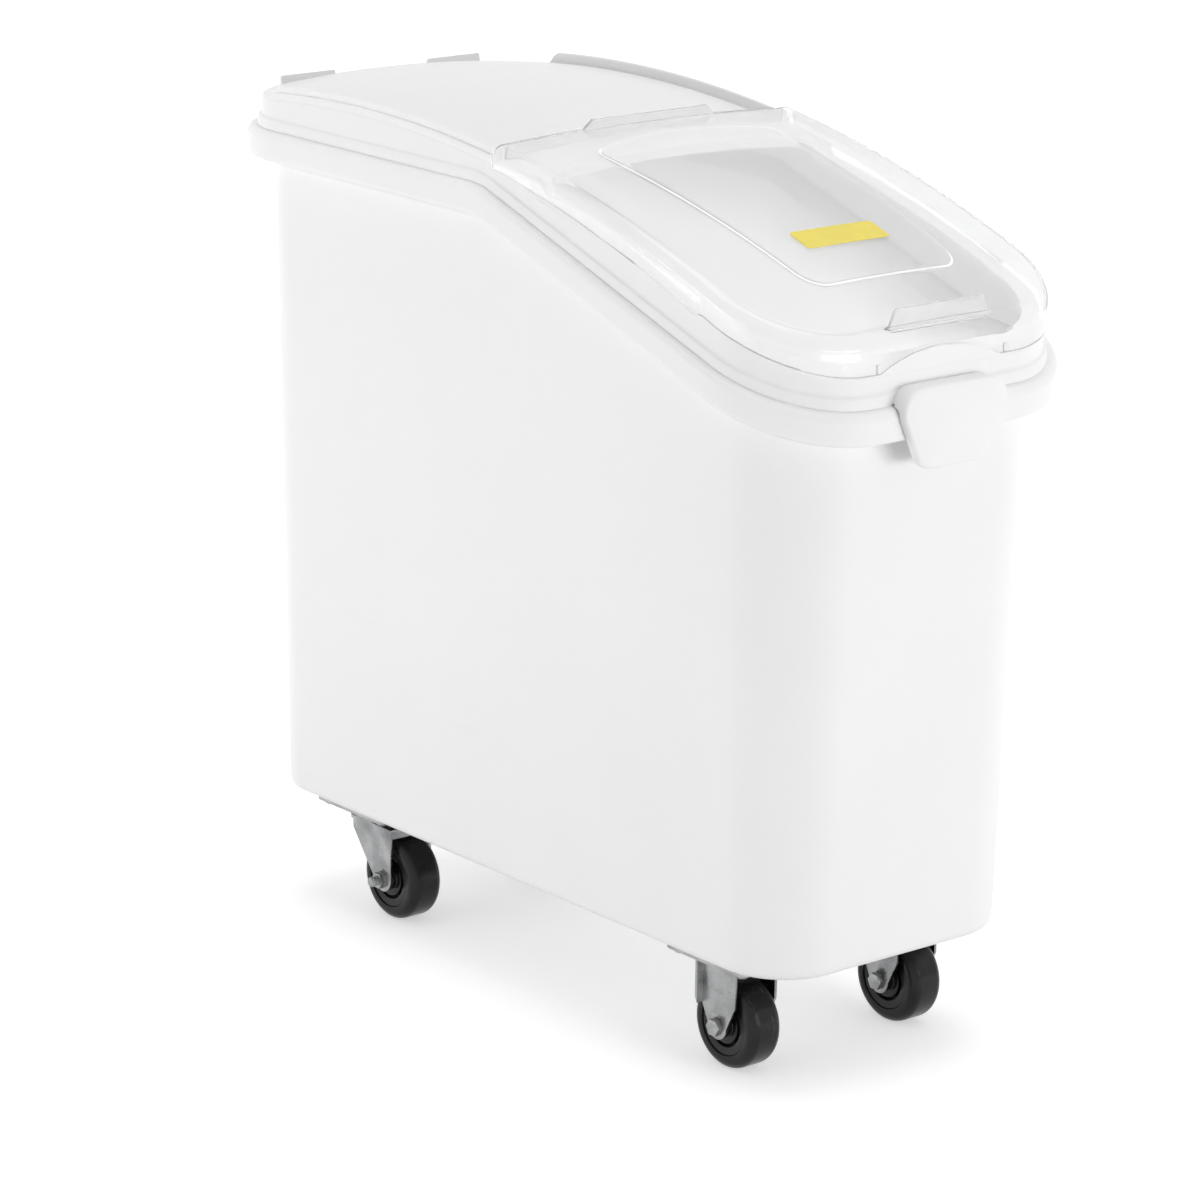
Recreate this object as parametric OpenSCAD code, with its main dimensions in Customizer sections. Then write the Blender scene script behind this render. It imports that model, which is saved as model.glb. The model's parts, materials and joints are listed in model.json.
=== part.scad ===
// Rolling flour bin: a drafted tub on four casters, with a lift-off lid frame and a clear sliding lid.
// Millimetres. X runs from the rear to the sloped front, Y to the left, Z up from the floor.

/* [Overall size] */
// Length from the rear of the rim to the face of the grip
overall_l = 755; // [720:1:800]
// Width over the rim
overall_w = 340; // [310:1:380]
// Height from the floor to the top of the sliding lid's rear lip
overall_h = 735; // [660:1:800]

/* [Tub] */
// Depth of the rim's level rear part below the top of the rear lip
rim_down = 44.5; // [41:0.5:48]
// Fall of the rim from the bend to its front edge
rim_fall = 128; // [118:1:134]
// Place of the bend along the length, as a share from the rear
bend_share = 0.48344; // [0.46:0.00001:0.5]
// Overhang of the rim outside the wall
rim_over = 24; // [21:0.5:26]
// Height of the rim's outer band
rim_band = 26; // [24:1:32]
// Wall thickness
wall_t = 4.5; // [3:0.5:6]
// Floor thickness
floor_t = 5; // [4:0.5:8]
// Inset of the foot of the walls from their top
tub_draft = 11; // [6:1:14]
// Front corner radius of the wall in plan
front_r = 71; // [62:1:86]
// Rear corner radius of the wall in plan
rear_r = 58; // [48:1:76]
// Radius of the bottom edge
foot_r = 9; // [5:1:14]

/* [Lid frame] */
// Wall thickness of the lid frame
frame_t = 3.5; // [2.5:0.5:4]
// Height of the flared band above the rim
band_h = 9; // [7:0.5:10]
// Inset of the band's foot from the outside of the rim
band_in = 8.5; // [7:0.5:10]
// Step from the band's foot in to the upright face
band_step = 3.5; // [2.5:0.5:5]
// Depth of the lip that hangs inside the tub's mouth
lip_depth = 14; // [8:1:20]
// Fall of the rail line from the top of the arch to the frame's front face
arch_fall = 120.4; // [116:0.2:124]
// Place of the top of the arch along the length, as a share from the rear
arch_share = 0.24636; // [0.23:0.00001:0.26]
// Radius of the cover's crown across the width
crown_r = 1285; // [1150:5:2000]
// Height of the rails above the edge of the cover
rail_h = 9; // [7:0.5:10]
// Thickness of the rails
rail_w = 4.5; // [3:0.5:5]
// Fall of the ledge beside each rail from the rail's top
ledge_drop = 6; // [5:0.5:7]
// Distance of the rails' rear ends from the rear of the rim
rail_back = 62; // [50:1:90]
// Fall of the front deck from the top of the rails
deck_drop = 19.6; // [18:0.2:21]
// Distance of the cover's front edge in front of the bend
cover_fore = 57; // [45:1:70]
// Width of the deck beside the opening
side_deck = 18; // [14:1:24]
// Width of the deck in front of the opening
front_deck = 22; // [16:1:30]
// Depth of the turned-down edge round the opening
hem_d = 8; // [5:1:12]
// Width of each rear stop
stop_w = 58; // [30:1:70]
// Height of each rear stop above the cover
stop_h = 5; // [3:0.5:6]
// Distance between the centres of the rear stops
stop_span = 158; // [120:1:190]

/* [Front grip] */
// Reach of the grip in front of the rim
grip_reach = 8; // [6:0.5:12]
// Width of the grip
grip_w = 108; // [80:1:130]
// Height of the grip
grip_h = 65; // [50:1:80]
// Thickness of the grip's wall
grip_t = 3.5; // [2.5:0.5:5]
// Height of the grip's top above the rim's front edge
grip_up = 17; // [14:0.5:20]

/* [Sliding lid] */
// Thickness of the clear plastic
plate_t = 3; // [2:0.5:3.5]
// Height of the lid's crown above the top of the rails
lid_rise = 10; // [9.5:0.5:13]
// Radius of the lid's crown across the width
lid_crown_r = 2400; // [2300:10:4000]
// Radius of the rounded shoulder
shoulder_r = 11; // [8:0.5:12]
// Stand-off of the side skirt's outside from the frame's upright face
skirt_proud = 3.8; // [3.6:0.1:5]
// Stand-off of the front skirt's outside from the frame's upright face
front_proud = 1.5; // [0.5:0.1:2.5]
// Place of the lid's rear edge along the length, as a share from the rear
lid_share = 0.50331; // [0.49:0.00001:0.516]
// Fall of the skirt's lower edge from the rail level at the rear
skirt_rear_drop = 13; // [12:0.5:16]
// Fall of the skirt's lower edge from the rail level at the step
skirt_step_drop = 23; // [21:0.5:24]
// Distance of the step in the skirt from the lid's front
step_back = 106; // [95:1:120]
// Length of the slanted edge at the step
step_run = 8; // [4:1:12]
// Width of the arched cut in the front skirt
arch_w = 128; // [90:1:140]
// Height of the arched cut
arch_h = 16; // [12:0.5:17]
// Width of the front pull lip
front_lip_w = 104; // [70:1:125]
// Height of the front pull lip
front_lip_h = 14; // [10:0.5:18]
// Width of the rear lip
rear_lip_w = 138; // [90:1:180]
// Height of the rear lip
rear_lip_h = 7; // [4:0.5:9]
// Rise of the panel on the lid
panel_h = 1.2; // [0.8:0.1:2]
// Width of the panel at its rear edge
panel_rear_w = 194; // [150:1:220]
// Width of the panel at its front edge
panel_front_w = 158; // [120:1:180]
// Distance of the panel's rear corners from the lid's rear edge
panel_back = 48; // [35:1:70]
// Distance of the panel's front edge from the lid's front
panel_fore = 62; // [50:1:80]
// Backward bow of the panel's rear edge
panel_bow = 17; // [8:1:22]
// Width of the blank label
label_w = 86; // [50:1:110]
// Length of the blank label along the slope
label_l = 26; // [15:1:40]
// Thickness of the blank label
label_t = 0.3; // [0.2:0.05:0.6]
// Distance of the label's front edge from the lid's front
label_fore = 109; // [95:1:140]

/* [Casters] */
// Wheel diameter
wheel_d = 75; // [65:1:80]
// Tread width
wheel_w = 32; // [26:1:33]
// Radius of the tread's shoulders
tread_r = 8; // [5:0.5:10]
// Height from the floor to the underside of the tub
caster_h = 99; // [98:1:110]
// Distance of the middles of the wheels from the outside of the rim
wheel_in = 82; // [80:0.5:86]
// Distance of the rear axles from the rear of the rim
rear_axle_back = 169.5; // [160:0.5:180]
// Distance of the front axles from the front of the rim
front_axle_fore = 129.5; // [117:0.5:147]
// Offset of the rear axles from their swivel pins
lead = 28; // [22:0.5:32]
// Length of a caster's top plate
plate_l = 96; // [92:1:104]
// Width of a caster's top plate
plate_w = 80; // [78:1:84]
// Thickness of a caster's top plate
plate_th = 3; // [2.5:0.5:4]
// Screw spacing along a top plate
bolt_l = 76; // [70:1:80]
// Screw spacing across a top plate
bolt_w = 60; // [58:1:64]
// Thickness of the fork legs
leg_t = 2.5; // [2:0.5:3.5]
// Clear width between the fork legs
leg_gap = 40; // [38:0.5:43]
// Width of a front fork leg
leg_w = 42; // [34:1:48]
// Radius of the rounded foot of a fork leg
leg_foot_r = 11; // [10:0.5:14]
// Diameter of the axle bolts
axle_d = 8; // [6:0.5:10]
// Width across flats of the axle bolt heads and nuts
axle_flats = 13; // [12:0.5:17]
// Diameter of the plate screws
screw_d = 6; // [5:0.5:7]
// Diameter of the plate screws' domed heads
screw_head_d = 13; // [11:0.5:15]
// Diameter of the swivel pins
pin_d = 10; // [8:0.5:12]
// Diameter of the balls in the swivel races
ball_d = 6; // [5:0.5:6.5]
// Balls in each swivel race
ball_count = 12; // [8:1:12]

/* [Hidden] */
$fn = 64;

// Finishes
white = "#f3f3f1";
clear = [0.88, 0.93, 0.95, 0.4];
yellow = "#f4cf3a";
black = "#232323";
zinc = "#c3c6c8";
brass = "#b99a52";

// Clearances and the overrun of cuts
cut = 1;
seat_gap = 0.3;
rest_gap = 0.5;
run_gap = 0.05;
fit_gap = 0.02;
face_gap = 0.25;

// Lengths along the bin
rear_x = -overall_l / 2;
rim_front_x = overall_l / 2 - grip_reach;
wall_rear_x = rear_x + rim_over;
wall_front_x = rim_front_x - rim_over;
wall_half_w = overall_w / 2 - rim_over;
bend_x = rear_x + bend_share * overall_l;
arch_x = rear_x + arch_share * overall_l;
cover_x = bend_x + cover_fore;
lid_rear_x = rear_x + lid_share * overall_l;

// The rim line: level behind the bend, falling evenly in front of it
rim_z = overall_h - rim_down;
bend_soft = 12;
fall_rate = rim_fall / (rim_front_x - bend_x);
function soft_run(u) = u < -bend_soft ? 0 : u > bend_soft ? u : pow(u + bend_soft, 2) / (4 * bend_soft);
function seam_z(x) = rim_z - fall_rate * soft_run(x - bend_x);

// Upright face of the lid frame, and its foot on the rim
foot_o = rim_over - band_in;
face_o = foot_o - band_step;
face_half_w = wall_half_w + face_o;
face_front_x = wall_front_x + face_o;
face_rear_x = wall_rear_x - face_o;

// The arch: circles about one line across the bin, far below it
arch_run = face_front_x - arch_x;
arch_r = (arch_run * arch_run + arch_fall * arch_fall) / (2 * arch_fall);
lid_top_r = arch_r + lid_rise;
arch_z = overall_h - (lid_top_r + rear_lip_h) * cos(asin((lid_rear_x - arch_x) / lid_top_r));
function arc_z(x, r) = arch_z + sqrt(r * r - pow(x - arch_x, 2));
function ease(t) = let (u = max(0, min(1, t))) u * u * (3 - 2 * u);
function blend(a, b, t) = a + (b - a) * t;

// Rails, cover and deck
ledge_w = 5;
rail_out = face_half_w - ledge_w;
rail_in = rail_out - rail_w;
deck_r = arch_r - deck_drop;
cover_r = arch_r - rail_h + pow(rail_in, 2) / (2 * crown_r);
deck_ramp = 15;
function crown(y) = cover_r - y * y / (2 * crown_r);
function top_r(x, y) = blend(crown(y), deck_r, ease((x - cover_x) / deck_ramp));

// Outline in plan from the front middle round the left side to the rear middle: [x, y, normal x, normal y]
corner_steps = 6;
end_shares = [0, 0.3, 0.65];
back_shares = [0.65, 0.3, 0];
function half_line(rear, front, half_w, r_rear, r_front, stops, rear_shares) = concat(
    [for (s = end_shares) [front, s * (half_w - r_front), 1, 0]],
    [for (k = [0 : corner_steps]) let (a = 90 * k / corner_steps)
        [front - r_front * (1 - cos(a)), half_w - r_front * (1 - sin(a)), cos(a), sin(a)]],
    [for (x = stops) [x, half_w, 0, 1]],
    [for (k = [0 : corner_steps]) let (a = 90 * (1 + k / corner_steps))
        [rear + r_rear * (1 + cos(a)), half_w - r_rear * (1 - sin(a)), cos(a), sin(a)]],
    [for (s = rear_shares) [rear, s * (half_w - r_rear), -1, 0]]);
function whole_line(half) = concat(half,
    [for (k = [len(half) - 2 : -1 : 1]) [half[k][0], -half[k][1], half[k][2], -half[k][3]]]);
function evenly(from, to, shares) = [for (s = shares) blend(from, to, s)];

// The wall's top outline, with stops at the cover's front edge and close together at the bend
third_shares = [0.34, 0.67];
bend_shares = [2, 1, 0, -1, -2];
fore_stops = concat(evenly(wall_front_x - front_r, cover_x + deck_ramp, third_shares), [cover_x + deck_ramp]);
aft_stops = concat(
    [cover_x],
    [for (s = bend_shares) bend_x + s * bend_soft],
    evenly(bend_x - 2 * bend_soft, wall_rear_x + rear_r, third_shares));
wall_line = whole_line(half_line(wall_rear_x, wall_front_x, wall_half_w, rear_r, front_r,
    concat(fore_stops, aft_stops), back_shares));
function moved(line, o) = [for (p = line) [p[0] + o * p[2], p[1] + o * p[3]]];
function level_ring(o, z) = [for (p = moved(wall_line, o)) [p[0], p[1], z]];
function seam_ring(o, dz) = [for (p = moved(wall_line, o)) [p[0], p[1], seam_z(p[0]) + dz]];
function top_ring(line, drop) = [for (p = line) [p[0], p[1], arc_z(p[0], top_r(p[0], p[1]) - drop)]];
function between(a, b, t) = [for (k = [0 : len(a) - 1]) [blend(a[k][0], b[k][0], t), blend(a[k][1], b[k][1], t)]];

// Points of a circle's arc in a profile: [offset, height]
function arc_points(c, r, a0, a1, n) = [for (k = [0 : n]) let (a = blend(a0, a1, k / n)) c + r * [cos(a), sin(a)]];

// Point midway between the front and rear middles of a ring
function middle(ring) = (ring[0] + ring[len(ring) / 2]) / 2;

// Surface through rings that have equal counts of points, outside faces going up.
// ends: "flat" closes both ends round a middle point, "bridge" spans them from left to right, "ring" joins them.
module loft(rings, ends) {
    n = len(rings[0]);
    m = len(rings);
    last = ends == "ring" ? m - 1 : m - 2;
    top = (m - 1) * n;
    half = n / 2;
    sides = [for (i = [0 : last], j = [0 : n - 1])
        let (a = i * n + j, b = i * n + (j + 1) % n, d = ((i + 1) % m) * n + j, c = ((i + 1) % m) * n + (j + 1) % n)
        each [[a, d, c], [a, c, b]]];
    low_mid = m * n;
    fans = [for (j = [0 : n - 1]) each [
        [j, (j + 1) % n, low_mid], [top + (j + 1) % n, top + j, low_mid + 1]]];
    span = concat([[0, 1, n - 1], [half - 1, half, half + 1]],
        [for (j = [1 : half - 2]) each [[j, j + 1, n - j - 1], [j, n - j - 1, n - j]]]);
    spans = concat(span, [for (f = span) [top + f[0], top + f[2], top + f[1]]]);
    caps = ends == "flat" ? fans : ends == "bridge" ? spans : [];
    mids = ends == "flat" ? [middle(rings[0]), middle(rings[m - 1])] : [];
    polyhedron(points = concat([for (r = rings) each r], mids), faces = concat(sides, caps));
}

// Sweeps a profile of [radius, y] along the arch between two places in x, met at radius r
module arch_sweep(x0, x1, r) {
    a0 = acos((x1 - arch_x) / r);
    a1 = acos((x0 - arch_x) / r);
    translate([arch_x, 0, arch_z])
        rotate([90, 0, 0])
            rotate([0, 0, a0])
                rotate_extrude(angle = a1 - a0, $fn = 180)
                    children();
}

// Convex outline with round corners about the given centres, listed anticlockwise
function edge_normal(a, b) = [b[1] - a[1], a[0] - b[0]] / norm(b - a);
module round_outline(centres, r) {
    n = len(centres);
    polygon([for (k = [0 : n - 1]) each [
        centres[k] + r * edge_normal(centres[(k + n - 1) % n], centres[k]),
        centres[k] + r * edge_normal(centres[k], centres[(k + 1) % n])]]);
    for (c = centres)
        translate(c)
            circle(r);
}

// Places of the casters: the middles of their top plates
front_x = rim_front_x - front_axle_fore;
rear_axle_x = rear_x + rear_axle_back;
rear_pin_x = rear_axle_x - lead;
side_y = overall_w / 2 - wheel_in;
left = 1;
right = -1;
axle_z = wheel_d / 2;
plate_z = caster_h - plate_th;
caster_places = [[front_x, side_y], [front_x, -side_y], [rear_pin_x, side_y], [rear_pin_x, -side_y]];
module at_screws() {
    for (p = caster_places, sx = [-1, 1], sy = [-1, 1])
        translate([p[0] + sx * bolt_l / 2, p[1] + sy * bolt_w / 2, 0])
            children();
}

// Threaded inserts in closed bosses on the tub's floor
insert_wall = 1.5;
insert_d = screw_d + 2 * insert_wall;
insert_l = 10;
boss_wall = 4.5;
boss_d = insert_d + 2 * boss_wall;
boss_roof = 4;

// Tub: one wall of even thickness, flared out to a round-edged rim that steps the mouth outward
rim_edge_r = 6;
flare_r = 10;
flare_a = 10;
rim_in_o = face_o;
rim_seat_d = 16;
mouth_slope_d = 14;
flare_out = flare_r * (1 - sin(flare_a));
underside_run = rim_over - rim_edge_r * (1 - sin(flare_a)) - flare_out;
edge_low = -rim_band + rim_edge_r * (1 - cos(flare_a));
flare_z = edge_low - underside_run * tan(flare_a) - flare_r * cos(flare_a);
rim_profile = concat(
    arc_points([flare_r, flare_z], flare_r, 180, 90 + flare_a, 3),
    arc_points([rim_over - rim_edge_r, rim_edge_r - rim_band], rim_edge_r, flare_a - 90, 0, 3),
    arc_points([rim_over - rim_edge_r, -rim_edge_r], rim_edge_r, 0, 90, 3),
    [[rim_in_o, 0], [rim_in_o, -rim_seat_d], [-wall_t, -rim_seat_d - mouth_slope_d]]);
tub_rings = concat(
    [for (p = arc_points([-tub_draft - foot_r, caster_h + foot_r], foot_r, -90, 0, 3)) level_ring(p[0], p[1])],
    [for (p = rim_profile) seam_ring(p[0], p[1])],
    [for (p = arc_points([-tub_draft - wall_t - foot_r, caster_h + floor_t + foot_r], foot_r, 0, -90, 3))
        level_ring(p[0], p[1])]);
module tub() {
    color(white)
        difference() {
            union() {
                loft(tub_rings, "flat");
                at_screws()
                    translate([0, 0, caster_h + floor_t / 2])
                        cylinder(h = insert_l + boss_roof - floor_t / 2, d = boss_d);
            }
            at_screws()
                translate([0, 0, caster_h - cut])
                    cylinder(h = insert_l + cut, d = insert_d);
        }
}

module threaded_inserts() {
    color(brass)
        at_screws()
            translate([0, 0, caster_h])
                difference() {
                    cylinder(h = insert_l, d = insert_d - 2 * fit_gap);
                    translate([0, 0, -cut])
                        cylinder(h = insert_l + 2 * cut, d = screw_d + 2 * fit_gap);
                }
}

// Domed plate screws and their washers, under the top plates
washer_t = 1.2;
washer_over = 1.5;
washer_d = screw_head_d + 2 * washer_over;
screw_reach = 9;
head_h = 4;
head_r = (pow(screw_head_d / 2, 2) + head_h * head_h) / (2 * head_h);
module plate_screws() {
    color(zinc)
        at_screws()
            translate([0, 0, plate_z - washer_t]) {
                intersection() {
                    translate([0, 0, head_r - head_h])
                        sphere(head_r);
                    translate([0, 0, -head_h - cut])
                        cylinder(h = head_h + cut, d = screw_head_d);
                }
                translate([0, 0, -head_h / 2])
                    cylinder(h = head_h / 2 + washer_t + plate_th + screw_reach, d = screw_d);
            }
}

module plate_washers() {
    color(zinc)
        at_screws()
            translate([0, 0, plate_z - washer_t])
                difference() {
                    cylinder(h = washer_t, d = washer_d);
                    translate([0, 0, -cut])
                        cylinder(h = washer_t + 2 * cut, d = screw_d + 2 * face_gap);
                }
}

// Lid frame: band on the rim, upright face, arched cover at the rear and a deck round the opening
band_lean = 1;
fillet_h = 3.5;
edge_round = 2.5;
mouth_gap = 1;
opening_r_front = 60;
opening_r_rear = 16;
opening_rear = cover_x;
opening_front = face_front_x - front_deck;
opening_half_w = face_half_w - side_deck;
opening_stops = [for (k = [1 : len(fore_stops)])
    blend(opening_front - opening_r_front, opening_rear + opening_r_rear, k / (len(fore_stops) + 1))];
opening_back_count = len(aft_stops) + len(back_shares);
opening_back_shares = [for (k = [1 : opening_back_count]) 1 - k / opening_back_count];
opening_line = whole_line(half_line(opening_rear, opening_front, opening_half_w,
    opening_r_rear, opening_r_front, opening_stops, opening_back_shares));
deck_o = face_o - edge_round;
inner_o = face_o - frame_t;
lip_o = rim_in_o - mouth_gap;
nest_shares = [0.15, 0.35, 0.55, 0.75, 0.92];
function face_ring(o, drop) = top_ring(moved(wall_line, o), drop);
function deck_nest(t, drop) = top_ring(between(moved(wall_line, deck_o), opening_line, t), drop);
frame_rings = concat(
    [seam_ring(foot_o, seat_gap),
     seam_ring(foot_o - band_lean, band_h),
     seam_ring(face_o + band_lean / 2, band_h + fillet_h / 3),
     seam_ring(face_o, band_h + fillet_h),
     face_ring(face_o, edge_round),
     face_ring(face_o - edge_round * (1 - cos(45)), edge_round * (1 - sin(45))),
     face_ring(deck_o, 0)],
    [for (t = nest_shares) deck_nest(t, 0)],
    [top_ring(opening_line, 0),
     top_ring(opening_line, hem_d),
     top_ring(moved(opening_line, frame_t), hem_d),
     top_ring(moved(opening_line, frame_t), frame_t)],
    [for (k = [len(nest_shares) - 1 : -1 : 0]) deck_nest(nest_shares[k], frame_t)],
    [face_ring(inner_o, frame_t),
     seam_ring(inner_o, -lip_depth),
     seam_ring(lip_o, -lip_depth),
     seam_ring(lip_o, seat_gap)]);
rail_rear_x = rear_x + rail_back;
rail_sunk = frame_t / 2;
rail_bevel = 1;
rail_low_r = crown(rail_out) - rail_sunk;
rail_side_y = face_half_w - seat_gap;
rail_profile = [
    [rail_low_r, rail_in], [arch_r, rail_in], [arch_r, rail_out - rail_bevel], [arch_r - rail_bevel, rail_out],
    [arch_r - ledge_drop, rail_out], [arch_r - ledge_drop, rail_side_y], [rail_low_r, rail_side_y]];
module rails() {
    for (s = [0, 1])
        mirror([0, s, 0])
            arch_sweep(rail_rear_x, lid_rear_x - rest_gap, arch_r)
                polygon([for (p = rail_profile) [p[0], -p[1]]]);
}
stop_t = 3;
module rear_stops() {
    for (s = [-1, 1])
        arch_sweep(face_rear_x + edge_round, face_rear_x + edge_round + stop_t, cover_r)
            translate([crown(stop_span / 2 + stop_w / 2) - rail_sunk, s * stop_span / 2 - stop_w / 2])
                square([stop_h + rail_sunk, stop_w]);
}
// Arched tongue that fills the cut in the sliding lid's front skirt
lid_front_x = face_front_x + front_proud;
skirt_front_r = deck_r + rest_gap;
skirt_front_z = arc_z(lid_front_x, skirt_front_r);
arch_cut_r = (pow(arch_w / 2, 2) + arch_h * arch_h) / (2 * arch_h);
arch_gap = 1.2;
tongue_x = face_front_x - frame_t + face_gap;
tongue_t = frame_t - 2 * face_gap;
module arch_disc(x, t, r) {
    translate([x, 0, skirt_front_z + arch_h - arch_cut_r])
        rotate([0, 90, 0])
            cylinder(h = t, r = r, $fn = 200);
}
module tongue() {
    intersection() {
        arch_disc(tongue_x, tongue_t, arch_cut_r - arch_gap);
        translate([tongue_x - cut, -arch_w / 2, skirt_front_z - fillet_h])
            cube([tongue_t + 2 * cut, arch_w, arch_h + fillet_h]);
    }
}
// Hollow pull grip that hangs in front of the rim, open at the back and below, and cleared to the rim's round edge
grip_top_z = seam_z(rim_front_x) + grip_up;
grip_face_x = overall_l / 2;
grip_r = 18;
grip_low_share = 0.76;
grip_waist_share = 0.28;
grip_gap = 0.7;
function grip_centres(r) = [
    [grip_low_share * grip_w / 2 - r, r - grip_h], [grip_w / 2 - r, -grip_waist_share * grip_h],
    [grip_w / 2 - r - grip_t, -r], [r + grip_t - grip_w / 2, -r],
    [r - grip_w / 2, -grip_waist_share * grip_h], [r - grip_low_share * grip_w / 2, r - grip_h]];
module grip_block(x0, x1, r) {
    translate([x0, 0, grip_top_z])
        rotate([90, 0, 90])
            linear_extrude(x1 - x0)
                round_outline(grip_centres(grip_r), r);
}
module rim_room() {
    room_x = face_front_x - frame_t;
    edge_x = rim_front_x - rim_edge_r;
    edge_z = seam_z(edge_x) - rim_edge_r;
    low_z = edge_z - 2 * grip_h;
    rim_clear_z = seam_z(face_front_x) + seat_gap + grip_gap;
    translate([0, grip_w, 0])
        rotate([90, 0, 0])
            linear_extrude(2 * grip_w) {
                translate([room_x, low_z])
                    square([edge_x - room_x, rim_clear_z - low_z]);
                translate([room_x, low_z])
                    square([rim_front_x + grip_gap - room_x, edge_z - low_z]);
                translate([edge_x, edge_z])
                    circle(rim_edge_r + grip_gap);
            }
}
module grip() {
    difference() {
        grip_block(face_front_x - frame_t / 2, grip_face_x, grip_r);
        grip_block(face_front_x + face_gap, grip_face_x - grip_t, grip_r - grip_t);
        rim_room();
    }
}
module lid_frame() {
    color(white)
        union() {
            loft(frame_rings, "ring");
            rails();
            rear_stops();
            tongue();
            grip();
        }
}

// Sliding lid: a crowned clear plate with round shoulders and skirts, open at the rear
lid_half_w = face_half_w + skirt_proud;
lid_corner_r = front_r + face_o + front_proud;
lid_tail = 60;
tail_r = 20;
step_x = lid_front_x - step_back;
lid_side_shares = [0.2, 0.4, 0.6, 0.8, 1];
lid_stops = concat([step_x + step_run, step_x], evenly(step_x, lid_rear_x, lid_side_shares));
lid_line = whole_line(half_line(lid_rear_x - lid_tail, lid_front_x, lid_half_w, tail_r, lid_corner_r,
    lid_stops, back_shares));
function lid_r(y) = lid_top_r - y * y / (2 * lid_crown_r);
function lid_surface(line, drop) = [for (p = line) [p[0], p[1], arc_z(p[0], lid_r(p[1]) - drop)]];
function lid_ring(inset, drop) = lid_surface(moved(lid_line, -inset), drop);
function skirt_drop(x) = x <= step_x
    ? blend(skirt_rear_drop, skirt_step_drop, (x - lid_rear_x) / (step_x - lid_rear_x))
    : blend(skirt_step_drop, deck_drop - rest_gap, min(1, (x - step_x) / step_run));
// The skirt's lower edge is bevelled on the inside, so that it passes over the band
skirt_bevel = 0.6;
inner_drop = deck_drop - rest_gap - skirt_bevel;
function skirt_ring(inset, deepest) = [for (p = moved(lid_line, -inset))
    [p[0], p[1], arc_z(p[0], arch_r - min(skirt_drop(p[0]), deepest))]];
// Raised panel: narrower towards the front, with its rear edge bowed backward
panel_front_r = 23;
panel_rear_r = 12;
panel_edge = 1.5;
panel_rear_x = lid_rear_x + panel_back;
panel_front_x = lid_front_x - panel_fore;
panel_stops = [for (k = [1 : len(lid_stops)])
    blend(panel_front_x - panel_front_r, panel_rear_x + panel_rear_r, k / (len(lid_stops) + 1))];
panel_blank = whole_line(half_line(panel_rear_x, panel_front_x, panel_rear_w / 2, panel_rear_r, panel_front_r,
    panel_stops, back_shares));
panel_line = [for (p = panel_blank)
    let (fore = (p[0] - panel_rear_x) / (panel_front_x - panel_rear_x), wide = 2 * p[1] / panel_rear_w)
    [p[0] - panel_bow * (1 - wide * wide) * pow(1 - fore, 2), p[1] * blend(1, panel_front_w / panel_rear_w, fore), p[2], p[3]]];
spine_rear = lid_rear_x + lid_half_w / 2;
spine_front = lid_front_x - lid_half_w / 2;
spine_line = [for (p = lid_line) [max(spine_rear, min(spine_front, p[0])), 0]];
under_shares = [0.85, 0.5];
shoulder_line = moved(lid_line, -shoulder_r);
panel_top_line = moved(panel_line, -panel_edge);
bend_in_r = shoulder_r - plate_t;
shoulder_angles = [90, 60, 30, 0];
lid_rings = concat(
    [for (t = under_shares) lid_surface(between(shoulder_line, spine_line, t), plate_t)],
    [for (a = shoulder_angles) lid_ring(shoulder_r - bend_in_r * cos(a), shoulder_r - bend_in_r * sin(a))],
    [skirt_ring(plate_t, inner_drop), skirt_ring(0, skirt_step_drop)],
    [for (k = [len(shoulder_angles) - 1 : -1 : 0]) let (a = shoulder_angles[k])
        lid_ring(shoulder_r * (1 - cos(a)), shoulder_r * (1 - sin(a)))],
    [lid_surface(between(shoulder_line, panel_line, 1 / 2), 0),
     lid_surface(panel_line, 0),
     lid_surface(panel_top_line, -panel_h),
     lid_surface(between(panel_top_line, spine_line, 1 / 2), -panel_h),
     lid_surface(between(panel_top_line, spine_line, under_shares[0]), -panel_h)]);
// Strip of the crowned plate between two heights, as a profile of [radius, y]
strip_steps = 8;
function crown_strip(half_w, low, high) = concat(
    [for (k = [0 : strip_steps]) let (y = blend(-half_w, half_w, k / strip_steps)) [lid_r(y) + low, y]],
    [for (k = [strip_steps : -1 : 0]) let (y = blend(-half_w, half_w, k / strip_steps)) [lid_r(y) + high, y]]);
// Front pull lip: a plate that stands up from the lid's top where the front shoulder begins
lip_t = 3;
lip_set = 5;
lip_corner_r = 9;
lip_root = 5;
module front_lip() {
    x = lid_front_x - lip_set;
    z = arc_z(x, lid_top_r) - lip_root;
    translate([x - lip_t, 0, z])
        rotate([90, 0, 90])
            linear_extrude(lip_t)
                round_outline([
                    [lip_root - front_lip_w / 2, lip_root], [front_lip_w / 2 - lip_root, lip_root],
                    [front_lip_w / 2 - lip_corner_r, front_lip_h], [lip_corner_r - front_lip_w / 2, front_lip_h]], lip_root);
}
// Rear lip: stands up along the rear edge, and a hem below it closes the gap over the cover
hem_side_gap = 3;
module rear_lip() {
    half = rear_lip_w / 2;
    taper = rear_lip_h;
    arch_sweep(lid_rear_x, lid_rear_x + plate_t, lid_top_r)
        polygon([[lid_r(half) - plate_t / 2, -half], [lid_top_r + rear_lip_h, taper - half],
            [lid_top_r + rear_lip_h, half - taper], [lid_r(half) - plate_t / 2, half]]);
    hem_half = rail_in - hem_side_gap;
    arch_sweep(lid_rear_x, lid_rear_x + plate_t, lid_top_r)
        polygon(concat(
            [for (k = [0 : strip_steps]) let (y = blend(-hem_half, hem_half, k / strip_steps)) [crown(y) + rest_gap, y]],
            [for (k = [strip_steps : -1 : 0]) let (y = blend(-hem_half, hem_half, k / strip_steps))
                [lid_r(y) - plate_t / 2, y]]));
}
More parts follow.
